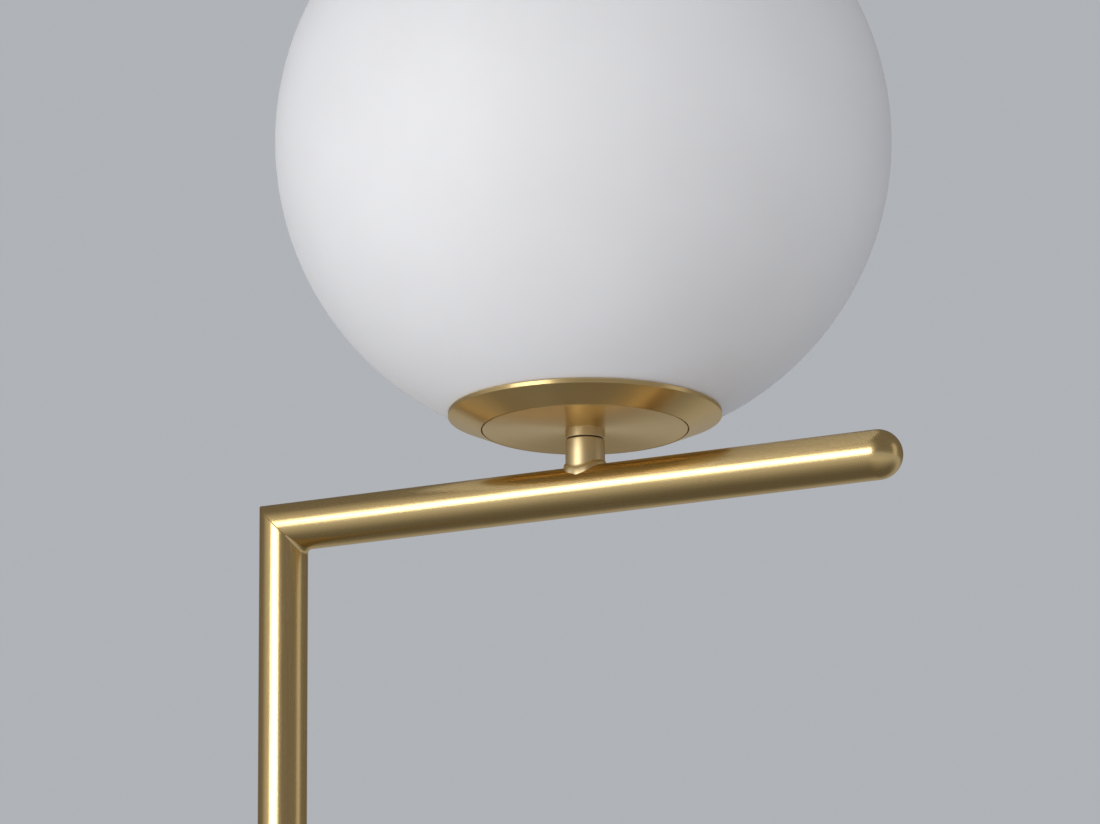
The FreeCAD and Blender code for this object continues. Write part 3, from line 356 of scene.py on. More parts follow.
def opal_glass():
    """Etched opal glass: light sinks in a little, and a faint cloud shows in its body."""
    material, tree, shader = new_material("opal_glass_etched")
    cloud = noise(tree, place_coords(tree), scale=14.0, detail=3.0)
    colour = blend_colours(tree, cloud, (0.800, 0.790, 0.795), (0.830, 0.822, 0.830))
    tree.links.new(colour, shader.inputs["Base Color"])
    grain = noise(tree, place_coords(tree), scale=900.0, detail=2.0)
    tree.links.new(spread(tree, grain, 0.46, 0.54), shader.inputs["Roughness"])
    bump(tree, shader, grain, strength=0.08, distance=0.00002)
    shader.inputs["IOR"].default_value = 1.5
    shader.inputs["Specular IOR Level"].default_value = 0.35
    shader.inputs["Subsurface Weight"].default_value = 0.25
    shader.inputs["Subsurface Radius"].default_value = (0.012, 0.011, 0.010)
    shader.inputs["Subsurface Scale"].default_value = 0.3
    return material


def clear_glass():
    material, tree, shader = new_material("bulb_clear_glass")
    haze = noise(tree, place_coords(tree), scale=120.0, detail=2.0)
    tree.links.new(spread(tree, haze, 0.01, 0.03), shader.inputs["Roughness"])
    colour = blend_colours(tree, haze, (0.97, 0.98, 0.98), (1.0, 1.0, 1.0))
    tree.links.new(colour, shader.inputs["Base Color"])
    shader.inputs["Transmission Weight"].default_value = 1.0
    shader.inputs["IOR"].default_value = 1.45
    return material


def plain_metal(name, one, two, rough, scale=300.0):
    """Plated or bare metal: a grain that changes its colour and gloss a little."""
    material, tree, shader = new_material(name)
    shader.inputs["Metallic"].default_value = 1.0
    grain = noise(tree, place_coords(tree), scale, detail=4.0, roughness=0.6)
    tree.links.new(blend_colours(tree, grain, one, two), shader.inputs["Base Color"])
    tree.links.new(spread(tree, grain, *rough), shader.inputs["Roughness"])
    bump(tree, shader, grain, strength=0.15, distance=0.00003)
    return material


def plain_body(name, one, two, rough, scale=260.0, depth=0.00004, strength=0.25):
    """Moulded plastic, rubber, ceramic or paint: a fine grain in colour, gloss and surface."""
    material, tree, shader = new_material(name)
    grain = noise(tree, place_coords(tree), scale, detail=4.0, roughness=0.6)
    tree.links.new(blend_colours(tree, grain, one, two), shader.inputs["Base Color"])
    tree.links.new(spread(tree, grain, *rough), shader.inputs["Roughness"])
    bump(tree, shader, grain, strength, depth)
    return material


def make_materials():
    """Every finish. After the marks of a brass, or the two colours of a grain, comes the roughness."""
    return {
        "stem_brass": brass("stem_brass", marks_round_stem, (0.21, 0.29), 0.0),
        "arm_brass": brass("arm_brass", marks_along_arm, (0.22, 0.31), 0.0),
        "turned_brass": brass("turned_brass", marks_in_rings, (0.31, 0.38), 0.85),
        "collar_brass": brass("collar_brass", marks_in_rings, (0.40, 0.48), 0.0,
                              COLLAR_DARK, COLLAR_PALE),
        "base_brass": brass("base_brass", marks_in_rings, (0.24, 0.32), 0.6),
        "opal": opal_glass(),
        "clear": clear_glass(),
        "steel": plain_metal("zinc_plated_steel", (0.55, 0.56, 0.56), (0.66, 0.66, 0.65), (0.24, 0.38)),
        "iron": plain_body("cast_iron_primed", (0.020, 0.020, 0.022), (0.034, 0.034, 0.036), (0.5, 0.7),
                           scale=140.0, depth=0.0003),
        "rubber": plain_body("foot_rubber", (0.012, 0.012, 0.013), (0.022, 0.022, 0.023), (0.65, 0.8)),
        "silicone": plain_body("gasket_silicone", (0.60, 0.60, 0.58), (0.68, 0.68, 0.66), (0.4, 0.5)),
        "nylon": plain_body("natural_nylon", (0.70, 0.68, 0.63), (0.78, 0.76, 0.71), (0.38, 0.5)),
        "fibre": plain_body("dark_fibre", (0.010, 0.008, 0.007), (0.022, 0.018, 0.015), (0.6, 0.75)),
        "phenolic": plain_body("black_phenolic", (0.008, 0.008, 0.009), (0.016, 0.016, 0.017), (0.22, 0.34)),
        "steatite": plain_body("steatite", (0.70, 0.66, 0.58), (0.78, 0.75, 0.68), (0.5, 0.65)),
        "contact": plain_metal("contact_brass", (0.62, 0.45, 0.20), (0.72, 0.55, 0.27), (0.25, 0.4)),
        "cap_metal": plain_metal("bulb_cap_metal", (0.62, 0.62, 0.62), (0.72, 0.72, 0.72), (0.2, 0.32)),
        "black_glass": plain_body("cap_black_glass", (0.004, 0.004, 0.005), (0.010, 0.010, 0.012),
                                  (0.05, 0.12)),
        "phosphor": plain_body("filament_phosphor", (0.72, 0.40, 0.03), (0.80, 0.48, 0.05), (0.55, 0.7)),
        "sheath": plain_body("flex_sheath", (0.62, 0.61, 0.58), (0.70, 0.69, 0.66), (0.45, 0.6)),
    }


# Stem and arm


def tube_to_mitre(name, axis, far, far_ease):
    """A tube whose near end lies on the plane of the mitre and whose far end is square at far.

    Rows go out along the skin, over the eased far edge, back along the bore and over the eased
    mitre edge. On a row at share s of the way from the mitre to the far end, the place along the
    tube is the mitre's place at that angle times (1 - s) plus far times s. The far edge is eased by
    far_ease times as much as the mitre edge."""
    ease, hold = 0.35, 0.15
    rows, columns = 60, 128
    around = angles(columns)
    turn = np.linspace(0.0, 0.5 * math.pi, 5)
    edge_r = np.concatenate([TUBE - ease + ease * np.sin(turn), [TUBE]])
    edge_in = np.concatenate([ease * (1 - np.cos(turn)), [ease + hold]])
    far_r, far_in = TUBE - far_ease * (TUBE - edge_r[::-1]), -far_ease * edge_in[::-1]
    radius = [edge_r, np.full(rows, TUBE), far_r, np.full(2, BORE)]
    edge = len(edge_r)
    share = [np.zeros(edge), np.linspace(0.0, 1.0, rows + 2)[1:-1], np.ones(edge), np.array([1.0, 0.0])]
    inset = [edge_in, np.zeros(rows), far_in, np.zeros(2)]
    radius, share, inset = (np.concatenate(x)[:, None] for x in (radius, share, inset))
    across = radius * np.cos(around)[None] if axis == "z" else radius * np.sin(around)[None]
    if axis == "z":
        mitre = ARM_Z - across
        along = mitre * (1 - share) + far * share - inset
        return surface(name, ring_points(radius, along, around[None], "z", (STEM_X, 0.0, 0.0)), True)
    mitre = STEM_X - across
    along = mitre * (1 - share) + far * share + inset
    return surface(name, ring_points(radius, along, around[None], "x", (0.0, 0.0, ARM_Z)), True)


def make_arm_tip():
    """Half a ball of the tube's radius, with a hollow spigot behind it in the tube's bore."""
    spigot, hollow, length, web = 10.45, 8.25, 8.0, 2.2
    ball = arc_points(TUBE, 90.0, 0.0, 40, TIP_X)
    inner = [(spigot, TIP_X), (spigot, TIP_X - length), (hollow, TIP_X - length), (hollow, TIP_X + web),
             (0.0, TIP_X + web)]
    return turned("arm_tip", np.concatenate([ball, np.array(inner)]), False, 128, "x", (0.0, 0.0, ARM_Z))


def make_lower_stem():
    """The stem from the base to its joint, its edges eased so that the joint shows as a fine line."""
    corners = [(BORE, BASE_TOP), (TUBE, BASE_TOP), (TUBE, JOINT_Z), (BORE, JOINT_Z)]
    profile = split(rounded(corners, (0.0, 0.25, 0.3, 0.0)), True, 20.0)
    return turned("stem_lower", profile, True, 128, "z", (STEM_X, 0.0, 0.0))


def make_weld_bead():
    """The fillet of braze in the inner corner of the mitre, tangent to the skins of both tubes.

    Point = seam + (1 - u) squared times d down the stem + u squared times d along the arm, where d
    falls with the angle from the inner corner as reach times (1 - t squared) to the power fullness. A
    last column a little inside the metal closes each row."""
    reach, half_angle, depth, fullness = 3.1, 58.0, 0.8, 0.7
    root = TUBE - 0.01  # just inside the skins of the tubes
    down, along = np.array([0.0, 0.0, -1.0]), np.array([1.0, 0.0, 0.0])
    t = np.linspace(-1.0, 1.0, 49)[:, None]
    around = np.radians(half_angle) * t
    d = reach * np.clip(1.0 - t**2, 0.0, None) ** fullness
    seam = np.stack([np.cos(around), np.sin(around), -np.cos(around)], -1)
    u = np.linspace(0.0, 1.0, 13)[None, :, None]
    out = d[..., None] * ((1.0 - u) ** 2 * down + u**2 * along)
    skin = root * seam + out
    inside = (root - depth * d[..., None] / reach) * seam
    centre = np.array([STEM_X, 0.0, ARM_Z])
    return surface("corner_bead", np.concatenate([skin, inside], 1) + centre, False, SOFT)


# Neck, disc and dish


def make_lower_collar():
    """A turned collar whose foot follows the round of the arm and spreads into a thin bead.

    On a row at share s from the arm to the seam the radius is the collar's plus a bead that fades
    with s, and the height runs from the arm's skin at that radius and angle up to the seam."""
    around = angles(160)[None]
    bead, bead_top, skin_top, sunk = 0.9, 0.17, 0.97, 0.05
    s = np.concatenate([np.linspace(0.0, bead_top, 14), np.linspace(bead_top, skin_top, 14)[1:]])[:, None]
    fade = np.sqrt(np.clip(1.0 - (s / bead_top) ** 2, 0.0, 1.0))
    ripple = 1.0 + 0.18 * np.sin(5.0 * around + 0.7) + 0.12 * np.sin(11.0 * around)
    skin = NECK + bead * fade * ripple
    # Radius and share of the rows over the eased top edge and down the bore
    inner = np.array([(NECK, 0.975), (NECK - 0.12, 0.992), (NECK - 0.4, 1.0), (ENTRY, 1.0), (ENTRY, 0.0)])
    radius = np.concatenate([skin, inner[:, :1] + 0.0 * around])
    foot = ARM_Z + np.sqrt(np.clip(TUBE**2 - (radius * np.sin(around)) ** 2, 0.0, None)) - sunk
    rise = np.concatenate([s, inner[:, 1:]])
    height = foot * (1.0 - rise) + SEAM_Z * rise
    return surface("neck_collar_lower", ring_points(radius, height, around), True, SOFT)


def make_upper_collar():
    corners = [(ENTRY, SEAM_Z + SEAM), (NECK, SEAM_Z + SEAM), (NECK, DISC_Z), (ENTRY, DISC_Z)]
    profile = split(rounded(corners, (0.0, 0.4, 0.0, 0.0)), True, 1.0)
    return turned("neck_collar_upper", profile, True, 160)


def make_disc():
    corners = [(ENTRY, DISC_Z), (DISC, DISC_Z), (DISC, DISC_TOP), (ENTRY, DISC_TOP)]
    profile = split(rounded(corners, (0.0, 0.3, 0.2, 0.0)), True, 2.0)
    return turned("head_disc", profile, True, 256)


def make_dish():
    """The dish ring: its inner edge steps in to three lugs, so the inner radius changes with the angle."""
    step = 0.35  # degrees that each side of a lug takes
    sides = ((-1, step), (-1, 0.0), (1, 0.0), (1, step))
    lug_edges = [lug + side * (LUG_ANGLE + e) for lug in (0.0, 120.0, 240.0) for side, e in sides]
    around = np.concatenate([np.degrees(angles(288)), np.array(lug_edges) % 360.0])
    around = np.unique(np.round(around, 4))
    far = np.abs((around + 60.0) % 120.0 - 60.0)
    inner = LUG_INNER + (FLANGE_INNER - LUG_INNER) * np.clip((far - LUG_ANGLE) / step, 0.0, 1.0)
    band = 0.9  # thickness of the rim
    corners = [
        (0.0, FLANGE_LOW), (DISH_INNER, FLANGE_LOW), (DISH_INNER, DISC_Z), (RIM, RIM_LOW), (RIM, RIM_TOP),
        (RIM - band, RIM_TOP), (SEAT_OUTER, SEAT_OUTER_Z), (SEAT_INNER, SEAT_INNER_Z),
        (SEAT_INNER, FLANGE_TOP), (0.0, FLANGE_TOP),
    ]
    radii = (0.0, 0.0, 0.2, 0.12, 0.5, 0.15, 0.0, 0.0, 0.15, 0.0)
    profile = split(rounded(corners, radii), True, 60.0)
    # The rows that the profile puts on the axis lie on the stepped inner edge
    radius = np.where(profile[:, :1] < 1.0, inner[None], profile[:, :1])
    grid = ring_points(radius, profile[:, 1:], np.radians(around)[None])
    return surface("dish", grid, True, CRISP)


# Globe


def make_globe():
    """Two concentric balls cut by the mouth, joined there by a lip that bulges in and a little down."""
    inner = GLOBE - GLOBE_WALL
    lip_angle, bulge, inwards = 0.5, 0.45, np.array([-1.0, -0.4])
    low_out = -math.degrees(math.acos(MOUTH / GLOBE))
    low_in = -math.degrees(math.acos(MOUTH / inner))
    outside = arc_points(GLOBE, 90.0, low_out + lip_angle, 110, GLOBE_Z)
    inside = arc_points(inner, low_in + lip_angle, 90.0, 90, GLOBE_Z)
    start, end = outside[-1], inside[0]
    turn = np.linspace(0.0, math.pi, 9)[1:-1, None]
    middle, half = (start + end) / 2, (start - end) / 2
    lip = middle + half * np.cos(turn) + inwards * np.sin(turn) * bulge
    profile = np.concatenate([outside, lip, inside])
    return turned("globe", profile, False, 256)


# Base


def make_cover():
    """The brass cover of the base with a round hole in its side for the inlet.

    The skin is turned in one piece. Where the hole is, a square patch of the grid is left out, and
    four more grids run from the square's edge to the circle, through the wall and back to the square
    on the inner side: point = square * (1 - s) + circle * s."""
    columns, half = 720, 10  # half: columns from the middle of the patch to its side
    patch_rows, patch_reach = 8, 6.2
    around = angles(columns) + math.radians(INLET_ANGLE)
    low, high, inside_r = COVER_LOW, BASE_TOP, BASE - COVER_WALL
    levels = np.linspace(INLET_Z - patch_reach, INLET_Z + patch_reach, patch_rows + 1)
    round_edge, hub, flat_rows = 3.0, 4.0, 15  # hub: radius of the smallest ring of the top
    bend = np.linspace(0.0, 0.5 * math.pi, 12)[:, None]
    quarter = np.concatenate([np.cos(bend), np.sin(bend)], 1)
    centre = np.array([BASE - round_edge, high - round_edge])
    edge_out = centre + round_edge * quarter
    edge_in = centre + (round_edge - COVER_WALL) * quarter
    wall_out = np.stack([np.full(patch_rows + 1, BASE), levels], 1)
    wall_in = np.stack([np.full(patch_rows + 1, inside_r), levels], 1)
    flat = np.linspace(BASE - round_edge, hub, flat_rows + 1)
    top_out = np.stack([flat[1:], np.full(flat_rows, high)], 1)
    top_in = np.stack([flat[1:], np.full(flat_rows, high - COVER_WALL)], 1)
    skin = np.concatenate([wall_out, edge_out, top_out, [(0.0, high)]])
    lining = np.concatenate([[(0.0, high - COVER_WALL)], top_in[::-1], edge_in[::-1], wall_in[::-1]])
    lip = np.array([(inside_r, low), (BASE, low)])
    profile = np.concatenate([skin[:-1], lining[1:]])
    rows = len(profile) + 2
    profile = np.concatenate([profile, lip])
    grid = ring_points(profile[:, :1], profile[:, 1:], around[None])
    quads = grid_faces(rows, columns, True).reshape(rows, columns, 4)
    gone = np.zeros((rows, columns), bool)
    near = np.concatenate([np.arange(half), np.arange(columns - half, columns)])
    gone[np.ix_(np.arange(patch_rows), near)] = True
    first_in = len(skin) - 1 + len(lining) - 1 - (patch_rows + 1)
    gone[np.ix_(np.arange(first_in, first_in + patch_rows), near)] = True
    pole_row = len(skin) - 2
    gone[pole_row] = True
    kept = quads[~gone]
    points = grid.reshape(-1, 3)
    total = len(points)
    c = np.arange(columns)
    right = (c + 1) % columns
    top_ring = pole_row * columns
    under_ring = (pole_row + 1) * columns
    poles = np.array([[0.0, 0.0, high], [0.0, 0.0, high - COVER_WALL]])
    fans = np.concatenate([
        np.stack([np.full(columns, total), top_ring + c, top_ring + right], 1),
        np.stack([np.full(columns, total + 1), under_ring + right, under_ring + c], 1),
    ])
    points = np.concatenate([points, poles])

    def square(first_row, upward):
        """Indices of the grid round the patch, anticlockwise seen from outside."""
        rows_up = np.arange(first_row, first_row + patch_rows + 1)
        if not upward:
            rows_up = rows_up[::-1]
        cols = np.concatenate([np.arange(columns - half, columns), np.arange(half + 1)])
        bottom = rows_up[0] * columns + cols
        right_side = rows_up * columns + cols[-1]
        top = rows_up[-1] * columns + cols[::-1]
        left_side = rows_up[::-1] * columns + cols[0]
        return np.concatenate([bottom[:-1], right_side[:-1], top[:-1], left_side[:-1]])

    outside, inside = square(0, True), square(first_in, False)
    spin = math.radians(INLET_ANGLE)
    turn = np.array([[math.cos(spin), -math.sin(spin)], [math.sin(spin), math.cos(spin)]])

    def patch_ring(corners, radius, wall_r, share):
        """Points between the square and the circle of the hole, set on the round wall of radius wall_r."""
        flat_points = points[corners]
        local = flat_points[:, :2] @ turn
        side = np.stack([local[:, 1], flat_points[:, 2] - INLET_Z], 1)
        ring = side / np.linalg.norm(side, axis=1, keepdims=True) * radius
        mixed = side * (1 - share) + ring * share
        x = np.sqrt(wall_r**2 - mixed[:, 0] ** 2)
        flat_xy = np.stack([x, mixed[:, 0]], 1) @ turn.T
        return np.concatenate([flat_xy, mixed[:, 1:] + INLET_Z], 1)

    midway, full = 0.5, 1.0
    rings = [patch_ring(outside, INLET_HOLE, BASE, s) for s in (midway, full)]
    rings += [patch_ring(inside, INLET_HOLE, inside_r, s) for s in (full, midway)]
    n = len(outside)
    start = len(points)
    points = np.concatenate([points] + rings)
    index = [outside] + [start + i * n + np.arange(n) for i in range(len(rings))] + [inside]
    strips = [np.stack([a, np.roll(a, -1), np.roll(b, -1), b], 1) for a, b in zip(index, index[1:])]
    return mesh_piece("base_cover_skin", points, np.concatenate([kept] + strips), fans)


def make_inlet_bush():
    """The bush of the inlet, turned about the level line X at the inlet's height and then swung round
    to the inlet's angle. Its profile is a radius and a distance from the axis of the base."""
    back, seat = 171.8, BASE + 0.12
    front = seat + 1.5
    corners = [(INLET_BORE, back), (INLET_BODY, back), (INLET_BODY, seat), (INLET_FLANGE, seat),
               (INLET_FLANGE, front), (INLET_BORE, front)]
    profile = split(rounded(corners, (0.3, 0.2, 0.0, 0.1, 0.5, 0.6)), True, 3.0)
    grid = ring_points(profile[:, :1], profile[:, 1:], angles(72)[None], "x", (0.0, 0.0, INLET_Z))
    spin = math.radians(INLET_ANGLE)
    x, y = grid[..., 0].copy(), grid[..., 1].copy()
    grid[..., 0] = x * math.cos(spin) - y * math.sin(spin)
    grid[..., 1] = x * math.sin(spin) + y * math.cos(spin)
    return surface("inlet_bush", grid, True)


def make_foot_ring():
    inner, outer = 150.0, 172.0
    corners = [(inner, 0.0), (outer, 0.0), (outer, COVER_LOW), (inner, COVER_LOW)]
    return turned("foot_ring", split(rounded(corners, (0.6, 0.6, 0.0, 0.0)), True, 8.0), True, 256)


# Bulb and lampholder


def make_bulb_glass():
    """A ball that runs into a flank and a neck: the outside and the inside one wall apart.

    The flank is a cubic curve: it leaves the ball along the ball's tangent and enters the neck upright."""
    wall, ball_radius, neck_radius, last_angle = 0.9, 30.0, 12.6, 38.0
    ball_z, neck_top, neck_foot = ARM_Z + 143.0, ARM_Z + 92.0, ARM_Z + 88.0
    upper_pull, lower_pull = 16.0, 14.0

    def half(offset):
        ball = arc_points(ball_radius - offset, 90.0, -last_angle, 46, ball_z)
        neck_r = neck_radius - offset
        top = ball[-1]
        t = np.linspace(0.0, 1.0, 24)[1:, None]
        low = np.array([neck_r, neck_top])
        lead = np.array([-math.sin(math.radians(last_angle)), -math.cos(math.radians(last_angle))])
        pull = top + lead * upper_pull
        rise = low + np.array([0.0, lower_pull])
        flank = (1 - t) ** 3 * top + 3 * (1 - t) ** 2 * t * pull + 3 * (1 - t) * t**2 * rise + t**3 * low
        neck = np.array([(neck_r, neck_foot)])
        return np.concatenate([ball, flank, neck])

    profile = np.concatenate([half(0.0), half(wall)[::-1]])
    return turned("bulb_envelope", profile, False, 128)


def make_bulb_cap():
    """A rolled screw cap: the radius waves with the height less the pitch times the turns made.

    The wave fades in over the run at the foot, and out over the run below the plain rim. Above the
    collar's foot the inside keeps clear of the neck of the glass."""
    around = angles(96)[None]
    low, high, pitch = ARM_Z + 70.0, ARM_Z + 92.0, 3.62
    crest, half_depth, wall, bore = 13.1, 0.42, 0.45, 12.6
    run, rim, collar = 2.0, 3.0, 5.0
    height = np.linspace(low, high, 150)[:, None]
    wave = np.cos(TAU * (height / pitch - around / TAU))
    ends = np.clip((height - low) / run, 0.0, 1.0) * np.clip((high - rim - height) / run, 0.0, 1.0)
    outside = crest - half_depth * ends * (1.0 - wave)
    inside = outside - wall
    inside = np.where(height > high - collar, np.maximum(inside, bore), inside)
    radius = np.concatenate([outside, inside[::-1]])
    level = np.concatenate([height, height[::-1]]) + 0.0 * around
    return surface("bulb_screw_cap", ring_points(radius, level, around), True, ROLLED)


def make_barrel():
    """The holder's barrel: fine upright flutes, the radius dipping as the fourth power of a cosine.

    The flutes reach from flute_low to flute_high, fade in and out over the run, and touch only the
    points within skin of the outside."""
    around = angles(288)[None]
    bore, top = 14.28, ARM_Z + 90.0
    flute_low, flute_high, run = HOLDER_TOP + 3.0, HOLDER_TOP + 21.0, 1.5
    skin, blend, depth, waves = 0.2, 0.15, 0.35, 18.0
    corners = [(bore, HOLDER_TOP), (HOLDER, HOLDER_TOP), (HOLDER, top), (bore, top)]
    profile = split(rounded(corners, (0.0, 0.3, 1.0, 0.6)), True, 1.2)
    radius, height = profile[:, :1], profile[:, 1:]
    outer = np.clip((radius - (HOLDER - skin)) / blend, 0.0, 1.0)
    zone = np.clip((height - flute_low) / run, 0.0, 1.0) * np.clip((flute_high - height) / run, 0.0, 1.0)
    dip = depth * np.cos(waves * around) ** 4
    return surface("holder_sleeve", ring_points(radius - outer * zone * dip, height, around), True, SOFT)


def make_holder_cap():
    """The holder's cap: a cup with a ledge for the insert, standing on the thread of the neck."""
    bottom, insert = ARM_Z + 43.0, ARM_Z + 56.0
    mouth, cup, floor = 17.3, 15.5, bottom + 4.0
    corners = [(ENTRY, bottom), (HOLDER, bottom), (HOLDER, HOLDER_TOP), (mouth, HOLDER_TOP), (mouth, insert),
               (cup, insert), (cup, floor), (ENTRY, floor)]
    profile = split(rounded(corners, (0.0, 1.6, 0.3, 0.0, 0.0, 0.0, 0.0, 0.0)), True, 2.0)
    return turned("holder_base", profile, True, 192)


# The room: floor, backdrop colour, lamps and camera

BACKDROP = (0.432, 0.448, 0.474)
FLOOR_WARMTH = (1.0, 0.97, 0.92)
# Painted shade and light for polished metal to reflect, glowing from the floor in place of its real shading:
# metres towards the camera, and brightness
FLOOR_PAINTED_LIGHT = ((-4.5, 0.50), (-2.4, 0.34), (-1.1, 0.12), (0.1, 0.13), (1.0, 0.29), (2.3, 0.56), (4.0, 0.50))
TOWARDS_CAMERA = (0.448, -0.894, 0.0)
FLOOR_SIZE = 90.0  # metres from its middle to each side
FLOOR_FADE = (1.6, 5.5)  # metres from its middle between which it runs into the backdrop's colour
# What polished metal sees of the room: its colour, the colour of its lit part, and two lobes, each a
# direction, the degrees round it that are full and the degrees where it ends
ROOM = (0.175, 0.165, 0.155)
ROOM_LIT = (0.47, 0.46, 0.44)
BEHIND = ((-0.44, 0.87, -0.27), 20.0, 40.0)
BESIDE = ((-0.50, -0.85, 0.17), 20.0, 52.0)
# Numbers of the colour sockets of a Mix node
MIX_ONE, MIX_TWO, MIX_RESULT = 6, 7, 2


def painted_floor_reflection(tree):
    """A painted reflection for polished metal: the floor glows with painted shade under and close behind the
    lamp, and painted light before it.
    """
    ahead = tree.nodes.new("ShaderNodeVectorMath")
    ahead.operation = "DOT_PRODUCT"
    tree.links.new(place_coords(tree), ahead.inputs[0])
    ahead.inputs[1].default_value = TOWARDS_CAMERA
    first, last = FLOOR_PAINTED_LIGHT[0][0], FLOOR_PAINTED_LIGHT[-1][0]
    ramp = tree.nodes.new("ShaderNodeValToRGB")
    tree.links.new(spread(tree, ahead.outputs["Value"], 0.0, 1.0, first, last), ramp.inputs["Fac"])
    stops = ramp.color_ramp.elements
    for i, (place, level) in enumerate(FLOOR_PAINTED_LIGHT):
        share = (place - first) / (last - first)
        stop = stops[0] if i == 0 else stops[-1] if place == last else stops.new(share)
        stop.position = share
        stop.color = (*(level * part for part in FLOOR_WARMTH), 1.0)
    return ramp.outputs["Color"]


def make_floor():
    """A plain pale floor that runs into the backdrop's colour far away from the lamp.

    Rays off polished metal see a glow of painted shade and light in place of the plain floor."""
    mesh = bpy.data.meshes.new("floor")
    corners = [(x * FLOOR_SIZE, y * FLOOR_SIZE, 0) for x, y in ((-1, -1), (1, -1), (1, 1), (-1, 1))]
    mesh.from_pydata(corners, [], [(0, 1, 2, 3)])
    floor = bpy.data.objects.new("floor", mesh)
    bpy.context.scene.collection.objects.link(floor)
    material, tree, shader = new_material("floor_pale")
    shader.inputs["Base Color"].default_value = (0.62, 0.63, 0.65, 1.0)
    shader.inputs["Roughness"].default_value = 0.9
    shader.inputs["Specular IOR Level"].default_value = 0.1
    length = tree.nodes.new("ShaderNodeVectorMath")
    length.operation = "LENGTH"
    tree.links.new(place_coords(tree), length.inputs[0])
    far = spread(tree, length.outputs["Value"], 0.0, 1.0, *FLOOR_FADE)
    glow = node(tree, "ShaderNodeEmission", Strength=1.0)
    glow.inputs["Color"].default_value = (*BACKDROP, 1.0)
    mix = tree.nodes.new("ShaderNodeMixShader")
    tree.links.new(far, mix.inputs[0])
    # A glow that only rays off polished metal see: painted shade and light on the floor.
    painted_reflection_glow = node(tree, "ShaderNodeEmission", Strength=1.0)
    tree.links.new(painted_floor_reflection(tree), painted_reflection_glow.inputs["Color"])
    paths = tree.nodes.new("ShaderNodeLightPath")
    near = tree.nodes.new("ShaderNodeMixShader")
    tree.links.new(paths.outputs["Is Glossy Ray"], near.inputs[0])
    tree.links.new(shader.outputs[0], near.inputs[1])
    tree.links.new(painted_reflection_glow.outputs[0], near.inputs[2])
    tree.links.new(near.outputs[0], mix.inputs[1])
    tree.links.new(glow.outputs[0], mix.inputs[2])
    out = next(n for n in tree.nodes if n.type == "OUTPUT_MATERIAL")
    tree.links.new(mix.outputs[0], out.inputs["Surface"])
    mesh.materials.append(material)


def lobe(tree, direction, ahead, full, none):
    """How much of a direction lies near ahead: 1 within full degrees of it, 0 beyond none degrees."""
    along = tree.nodes.new("ShaderNodeVectorMath")
    along.operation = "DOT_PRODUCT"
    tree.links.new(direction, along.inputs[0])
    along.inputs[1].default_value = Vector(ahead).normalized()
    share = tree.nodes.new("ShaderNodeMapRange")
    share.interpolation_type = "SMOOTHSTEP"
    share.inputs["From Min"].default_value = math.cos(math.radians(none))
    share.inputs["From Max"].default_value = math.cos(math.radians(full))
    tree.links.new(along.outputs["Value"], share.inputs["Value"])
    return share.outputs["Result"]


def mix_colours(tree, share, one, two):
    """Colour one where share is 0 and two where it is 1; each is a socket or a plain colour."""
    mix = tree.nodes.new("ShaderNodeMix")
    mix.data_type = "RGBA"
    tree.links.new(share, mix.inputs["Factor"])
    for index, colour in ((MIX_ONE, one), (MIX_TWO, two)):
        if isinstance(colour, tuple):
            mix.inputs[index].default_value = (*colour, 1.0)
        else:
            tree.links.new(colour, mix.inputs[index])
    return mix.outputs[MIX_RESULT]


def make_world():
    """One flat backdrop colour for the camera and for diffuse light.

    Rays off gloss surfaces see that colour only in a lobe behind the lamp. Elsewhere they see a dim
    room with a lit part beside the key lamp."""
    world = bpy.data.worlds.new("studio")
    bpy.context.scene.world = world
    world.use_nodes = True
    tree = world.node_tree
    background = tree.nodes["Background"]
    direction = tree.nodes.new("ShaderNodeTexCoord").outputs["Generated"]
    behind = lobe(tree, direction, *BEHIND)
    room = mix_colours(tree, behind, ROOM, BACKDROP)
    beside = lobe(tree, direction, *BESIDE)
    room = mix_colours(tree, beside, room, ROOM_LIT)
    paths = tree.nodes.new("ShaderNodeLightPath")
    seen = mix_colours(tree, paths.outputs["Is Glossy Ray"], BACKDROP, room)
    tree.links.new(seen, background.inputs["Color"])


def look(location, target):
    """A turn that points a lamp or camera at location to target, its top upwards."""
    return (Vector(target) - Vector(location)).to_track_quat("-Z", "Y")


def softbox(name, azimuth, elevation, distance, width, height, energy, colour=(1.0, 1.0, 1.0), aim=1.60):
    """A rectangular lamp that faces the head: azimuth from -Y towards +X and elevation in degrees,
    distance, width, height and aim in metres, energy in watts."""
    a, e = math.radians(azimuth), math.radians(elevation)
    location = (
        distance * math.sin(a) * math.cos(e),
        -distance * math.cos(a) * math.cos(e),
        aim + distance * math.sin(e),
    )
    data = bpy.data.lights.new(name, "AREA")
    data.shape = "RECTANGLE"
    data.size, data.size_y = width, height
    data.energy = energy
    data.color = colour
    lamp = bpy.data.objects.new(name, data)
    lamp.location = location
    lamp.rotation_mode = "QUATERNION"
    lamp.rotation_quaternion = look(location, (0.0, 0.0, aim))
    lamp.visible_camera = False
    bpy.context.scene.collection.objects.link(lamp)
    return lamp


def make_lamps():
    softbox("key", -18.4, 5.0, 2.4, 1.42, 0.86, 17.6)
    softbox("side", 109.0, 14.0, 2.6, 1.0, 1.6, 2.0)
    front = softbox("front_fill", 38.0, -3.0, 2.6, 2.6, 0.45, 6.2)
    front.visible_glossy = False
    right = softbox("right_fill", 38.0, -22.0, 3.0, 1.4, 0.8, 2.0, (1.0, 0.95, 0.92))
    left = softbox("left_fill", -50.0, -22.0, 3.0, 1.4, 0.8, 2.9)
    for lamp in (right, left):  # a narrow spread keeps them on the head
        lamp.data.spread = math.radians(70.0)
        lamp.visible_glossy = False


